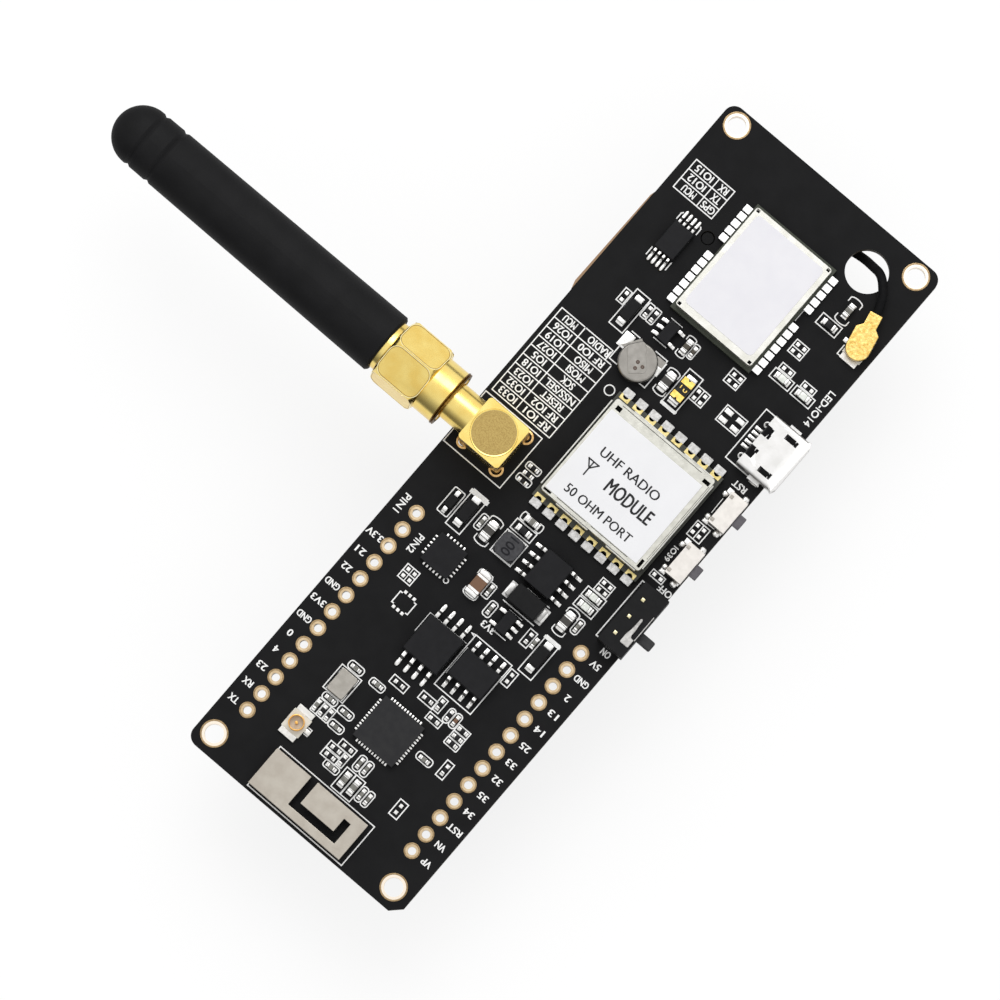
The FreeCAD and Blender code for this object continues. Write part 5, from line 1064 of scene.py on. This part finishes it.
nut = {
    "hexLong": 6.15, "cornerRadius": 4.82, "chamfer": 0.85, "edge": 0.3, "collarRadius": 3.64,
    "coneStart": -18.77, "coneEnd": -17.92, "coneRadius": 3.15, "lip": 3.74, "lipStart": -18.27,
    "halfSide": 2.28, "flatRound": 1.35, "flatHigh": 3.965,
    # lines round each flat, a painted highlight and a painted dark reflection inside it: name, inset, width,
    # finish
    "borders": [("nut_painted_highlight", 0.1, 0.09, flatEdgeHighlight), ("nut_painted_dark_reflection", 0.19, 0.07, flatEdgeDarkReflection)],
}
legs = {
    "places": [(-8.72, 2.98), (-8.95, -2.2), (-14.0, -2.15), (-14.05, 2.95)], "steps": 24,
    # a flat ring on the board, and a smaller one where the solder climbs: inner and outer radius, height
    "rings": [(0.66, 0.9, 0.07), (0.24, 0.46, 0.4)],
}


def makeNut():
    low, high = boxOf("antenna_nut")
    gold = finishes["connector_gold"]
    axis = Matrix.Translation((0, (low.y + high.y) / 2, (low.z + high.z) / 2))
    end, shoulder = low.x, low.x + nut["hexLong"]
    wide, chamfer, ring, cone = nut["cornerRadius"], nut["chamfer"], nut["collarRadius"], nut["coneStart"]
    bm = bmesh.new()
    profile = [(end - 0.2, 0), (end - 0.2, wide - chamfer - 0.2), (end + chamfer, wide),
               (shoulder - chamfer, wide), (shoulder, wide - chamfer), (shoulder + 0.02, ring), (cone, ring),
               (nut["coneEnd"], nut["coneRadius"]), (nut["coneEnd"], 0)]
    addTurned(bm, profile, 96, axis)
    piece = softened("antenna_nut", nut["edge"], gold, "coupling_nut", 3, 24, bm, "INTERSECT")
    flats = []
    for polygon in piece.data.polygons:
        fresh = all(polygon.normal.angle(flat) > 0.1 for flat in flats)
        if polygon.area > 10 * mm * mm and abs(polygon.normal.x) < 0.05 and fresh:
            flats.append(polygon.normal.copy())
    # each flat gets a line of painted highlight and, inside it, a line of painted dark reflection
    for name, inset, width, look in nut["borders"]:
        lines = bmesh.new()
        half, radius = nut["halfSide"] - inset, nut["flatRound"] - inset
        path = roundedOutline(end + inset + 0.02, shoulder - inset - 0.02, -half, half, radius, 6)
        for flat in flats:
            drawn = len(lines.verts)
            inkPath(lines, path + path[:1], width, nut["flatHigh"])
            lines.verts.ensure_lookup_table()
            turn = Matrix((Vector((1, 0, 0)), flat.cross(Vector((1, 0, 0))), flat)).transposed().to_4x4()
            bmesh.ops.transform(lines, matrix=axis @ turn, verts=lines.verts[drawn:])
        pieceFrom(name, lines, look, "connector_gold", "coupling_nut")
    # a ridged lip at the collar's end, darkened with painted shade
    lip, start = nut["lip"], nut["lipStart"]
    collar = [(cone, ring - 0.3), (cone, ring), (start, ring), (start, ring - 0.4)]
    cutLip = [(start - 0.12, lip - 0.2), (start - 0.1, lip), (start + 0.03, lip + 0.04),
              (start + 0.1, lip - 0.08), (start + 0.2, lip), (start + 0.3, lip - 0.03),
              (start + 0.36, lip - 0.45)]
    for name, profile, steps, look in (("nut_collar", collar, 96, gold), ("nut_lip", cutLip, 72, shadedLipGold)):
        bm = bmesh.new()
        addTurned(bm, profile, steps, axis)
        pieceFrom(name, bm, look, "connector_gold", "coupling_nut")


def makeLegSolder():
    bm = bmesh.new()
    for inner, outer, high in legs["rings"]:
        profile = ringProfile(inner, outer, 0, high * 0.5, high, high)
        addUpright(bm, profile, legs["steps"], [(x, y, boardTop) for x, y in legs["places"]])
    # solder that took up gold: warm, with brown patches
    stained = finish("gold stained solder", "#d9b47c", "#b98e55", 0.5, 0.3, 1, 0.2, 0.03)
    pieceFrom("leg_solder", bm, stained, "tin_plating")


def makeConnector():
    # the thread at the barrel's end is drawn by the finish, as bright and dark rings
    barrelGold = finish("gold plated brass, threaded at its end", "#f5dc86", "#edcc70", 2.2, 0.2, 1, 0.5,
                        0.006)
    addRipple(barrelGold, 0.71, 0.3, -18.1)
    softened("connector_body", 0.14, barrelGold, segments=3,
             chosen=lambda a, b: (a - b).length > 1.2 and min(a.x, b.x) > -15)
    softened("connector_cap", 0.1)
    low, high = boxOf("connector_cap")
    radius = (high.x - low.x) / 2
    rim = [(-0.3, radius + 0.06), (-0.05, radius + 0.06), (0.02, radius), (0.02, radius - 0.1),
           (-0.06, radius - 0.2), (-0.3, radius - 0.2)]
    bm = bmesh.new()
    addUpright(bm, rim, 72, [(low + high).xy.to_3d() / 2 + Vector((0, 0, high.z))])
    pieceFrom("cap_rim", bm, finishes["connector_gold"], "connector_gold")


makeNut()
makeLegSolder()
makeConnector()
print("connector made")


# Micro usb: shell with slots, rings, pins

usb = {
    "longEdge": 0.4, "slotDeep": 0.5, "shadeSheetDeep": 0.32,
    # left, right, near and far sides of the slots and of the dark sheets under them, which are painted shade
    # inside the shell
    "slots": [(14.8, 16.05, 22.4, 22.8), (15.95, 16.28, 22.3, 22.98), (14.85, 16.05, 17.62, 18.02),
              (15.95, 16.26, 17.4, 18.16), (12.5, 13.1, 21.5, 22.3), (12.3, 12.8, 21.35, 21.75),
              (12.85, 13.2, 20.98, 21.6), (12.6, 13.05, 18.0, 19.0), (12.35, 12.8, 18.6, 19.15),
              (12.85, 13.22, 18.85, 19.35)],
    "shadeSheets": [(14.7, 16.4, 22.2, 23.1), (14.7, 16.4, 17.3, 18.2), (12.2, 13.35, 20.9, 22.4),
               (12.2, 13.35, 17.9, 19.45)],
    "lipEnds": [[(17.72, 23.15), (18.3, 23.15), (18.3, 24.6), (17.25, 24.6), (17.42, 23.85)],
                [(17.42, 16.45), (17.25, 15.8), (18.3, 15.8), (18.3, 17.45), (17.8, 17.45)]],
    # solder rings round the shell's two pegs: inner and outer radius, foot, outer side, top, inner side
    "rings": [(11.91, 22.51), (11.91, 17.76)], "ringSizes": (0.2, 0.42, 0, 0.06, 0.12, 0.06),
}


def makeUsb():
    low, high = boxOf("usb_shell")
    cuts = bmesh.new()
    addBoxes(cuts, usb["slots"], high.z - usb["slotDeep"], high.z + 0.3)
    for corner in usb["lipEnds"]:
        addPlate(cuts, corner, low.z - 0.5, high.z + 0.5)
    # only the two long upper edges are round
    softened("usb_shell", usb["longEdge"], segments=4, cutter=cuts,
             chosen=lambda a, b: abs(a.y - b.y) < 0.05 and abs(a.x - b.x) > 1 and min(a.z, b.z) > 4.1
             and abs(a.y - 20.2) > 3.3)
    bm = bmesh.new()
    addUpright(bm, ringProfile(*usb["ringSizes"]), 20, [(x, y, boardTop) for x, y in usb["rings"]])
    pieceFrom("usb_peg_rings", bm, finishes["tin_plating"], "tin_plating")
    # dark sheets under the slots: painted shade inside the shell
    bm = bmesh.new()
    addBoxes(bm, usb["shadeSheets"], high.z - usb["slotDeep"], high.z - usb["shadeSheetDeep"])
    pieceFrom("usb_slot_shade", bm, finishes["lead_jacket"], "usb_plastic")
    # the pins take the leads' finish, with painted shade on their steep faces
    softened("usb_contacts", 0.04, leadTin)


# Buttons and switch: bent clips on the button covers, steel cover and pale pins of the switch

clips = [(14.05, 14.5, 12.95, 13.4), (14.0, 14.45, 9.5, 9.95), (14.05, 14.5, 5.15, 5.6),
         (14.0, 14.45, 1.7, 2.15)]
switchCover = {
    "outline": [(15.56, -4.85), (15.72, -4.72), (15.86, -4.85), (15.9, -5.6), (15.98, -6.2), (15.98, -7.05),
                (16.1, -7.28), (16.3, -7.32), (16.54, -7.3), (16.54, -8.42), (15.36, -8.42), (15.34, -7.3),
                (15.5, -6.5), (15.56, -5.6)],
    "edge": (16.58, 16.68, -7.3, -3.7),
}


def makeButtonsAndSwitch():
    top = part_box("button_cases")[1].z / mm
    bm = bmesh.new()
    addBoxes(bm, clips, top - 0.02, top + 0.12)
    rounded(bm, 0.04, clamp=False)
    clipSteel = finish("bent clip, grey steel", "#a9a49c", "#96918a", 0.4, 0.4, 1, 0.12, 0.01)
    pieceFrom("button_clips", bm, clipSteel, "button_metal")
    low, high = boxOf("switch_frame")
    bm = bmesh.new()
    addPlate(bm, switchCover["outline"], low.z - 0.05, high.z)
    rounded(bm, 0.05)
    addBoxes(bm, [switchCover["edge"]], low.z - 0.1, low.z + 0.03)
    coverSteel = finish("switch cover, brushed steel", "#bdbbb8", "#a3a19e", 0.5, 0.34, 1, 0.1, 0.012)
    pieceFrom("switch_cover", bm, coverSteel, slotOf["switch_frame"], nodes=["switch_frame"])
    softened("switch_pins", 0.05, pinGold)
    knobNylon = finish("switch knob, grey nylon", "#343435", "#2c2c2d", 0.5, 0.5, 0, 0.1, 0.01, 0.25)
    bpy.data.objects["switch_knob_fine"].data.materials[0] = knobNylon


makeUsb()
makeButtonsAndSwitch()
print("usb, buttons and switch made")


# Coin cell, tantalum capacitor, inductor: strips, weld marks, gold ends, plain marks

cell = {
    "thick": 0.05, "welds": [(-4.43, 18.16), (-4.22, 17.4), (-3.63, 18.05)],
    # inner and outer radius, foot, outer side, top, inner side of the welds' rings
    "weldSizes": (0.05, 0.24, -0.02, 0.03, 0.05, 0.03),
    # outlines of the upper strip on the disc, its pad on the left, its step down, and the lower strip's foot
    "strip": [(-6.72, 18.98), (-4.62, 16.55), (-4.4, 16.42), (-3.0, 17.62), (-2.98, 17.95), (-5.1, 20.42),
              (-5.58, 20.43)],
    "pad": [(-7.35, 18.6), (-6.5, 18.6), (-5.3, 20.35), (-5.95, 20.75)],
    "step": [(-6.75, 18.98), (-6.62, 18.95), (-5.5, 20.4), (-5.62, 20.47)],
    "foot": [(-3.2, 19.5), (-1.9, 19.5), (-1.9, 20.4), (-3.2, 20.4)],
}
tantalum = {"goldLong": 0.86, "notch": 0.22, "plate": 0.03, "inset": 0.03}
inductorCut = {"out": 0.5, "cut": 0.62}


def makeCell():
    level = boxOf("coin_cell")[1].z
    top = level + cell["thick"]
    bm = bmesh.new()
    for name, low, high in (("strip", level, top), ("pad", boardTop + 0.04, boardTop + 0.2),
                            ("step", boardTop + 0.1, top), ("foot", boardTop + 0.04, boardTop + 0.2)):
        addPlate(bm, cell[name], low, high)
    rounded(bm, 0.02, 1)
    slotName = slotOf["coin_cell_strips"]
    pieceFrom("cell_strips", bm, finishes["strip_steel"], slotName, nodes=["coin_cell_strips"])
    bm = bmesh.new()
    addUpright(bm, ringProfile(*cell["weldSizes"]), 16, [(x, y, top) for x, y in cell["welds"]])
    # scorched steel: brown and dull
    weld = finish("spot weld, scorched", "#5f534c", "#4d433e", 0.2, 0.5, 1, 0.1, 0.02)
    pieceFrom("cell_welds", bm, weld, slotName)


def makeTantalum():
    slotName = slotOf["tantalum_capacitor"]
    black = finish("tantalum case, black moulding", "#232320", "#1c1c1a", 0.5, 0.45, 0, 0.1, 0.01, 0.2)
    softened("tantalum_capacitor", 0.08, black)
    low, high = boxOf("tantalum_capacitor")
    notch, middle = tantalum["notch"], (low.x + high.x) / 2
    left, right = low.x + tantalum["inset"], high.x - tantalum["inset"]
    bm = bmesh.new()
    for end, way in ((low.y, 1), (high.y, -1)):
        near, far, cut = end + tantalum["inset"] * way, end + tantalum["goldLong"] * way, end + 0.3 * way
        outline = [(left, near), (middle - notch, near), (middle, cut), (middle + notch, near), (right, near),
                   (right, far), (left, far)]
        addPlate(bm, outline, high.z - 0.02, high.z + tantalum["plate"])
    # lacquered tin: warm yellow with a soft mirror
    yellow = finish("lacquer over tin, gold yellow", "#ecd078", "#dcb758", 0.4, 0.35, 1, 0.2, 0.015)
    pieceFrom("tantalum_ends", bm, yellow, slotName)
    bm = bmesh.new()
    inkLine(bm, (1.3, 19.42), (1.3, 19.1), 0.11, high.z)
    printWords(bm, "C", 1.95, 19.1, 0.5, 0.42, 90, 0.01, high.z)
    pieceFrom("tantalum_mark", bm, yellow, slotName)


def makeInductor():
    # its corners are cut back, the tinned corners under it show
    low, high = boxOf("inductor")
    bm = bmesh.new()
    printWords(bm, "100", -1.8, -8.2, 1.2, 0.78, -90, 0.01, high.z)
    ink = finish("laser mark, dark", "#26262a", "#1f1f22", 0.3, 0.6, 0, 0.1, 0.004, 0.1)
    pieceFrom("inductor_mark", bm, ink, slotOf["inductor"])
    corners = bmesh.new()
    out, cut = inductorCut["out"], inductorCut["cut"]
    for wayX, wayY in ((1, 1), (-1, 1), (-1, -1), (1, -1)):
        x, y = (low.x if wayX > 0 else high.x), (low.y if wayY > 0 else high.y)
        addPlate(corners, [(x - wayX * out, y - wayY * out), (x + wayX * (cut + out), y - wayY * out),
                           (x - wayX * out, y + wayY * (cut + out))], low.z + 0.25, high.z + 0.5)
    softened("inductor", 0.12, cutter=corners)


makeCell()
makeTantalum()
makeInductor()
softened("coax_sockets", 0.03, socketMetal)
softened("coax_plug", 0.14, plugGold, segments=3)
print("small parts made")
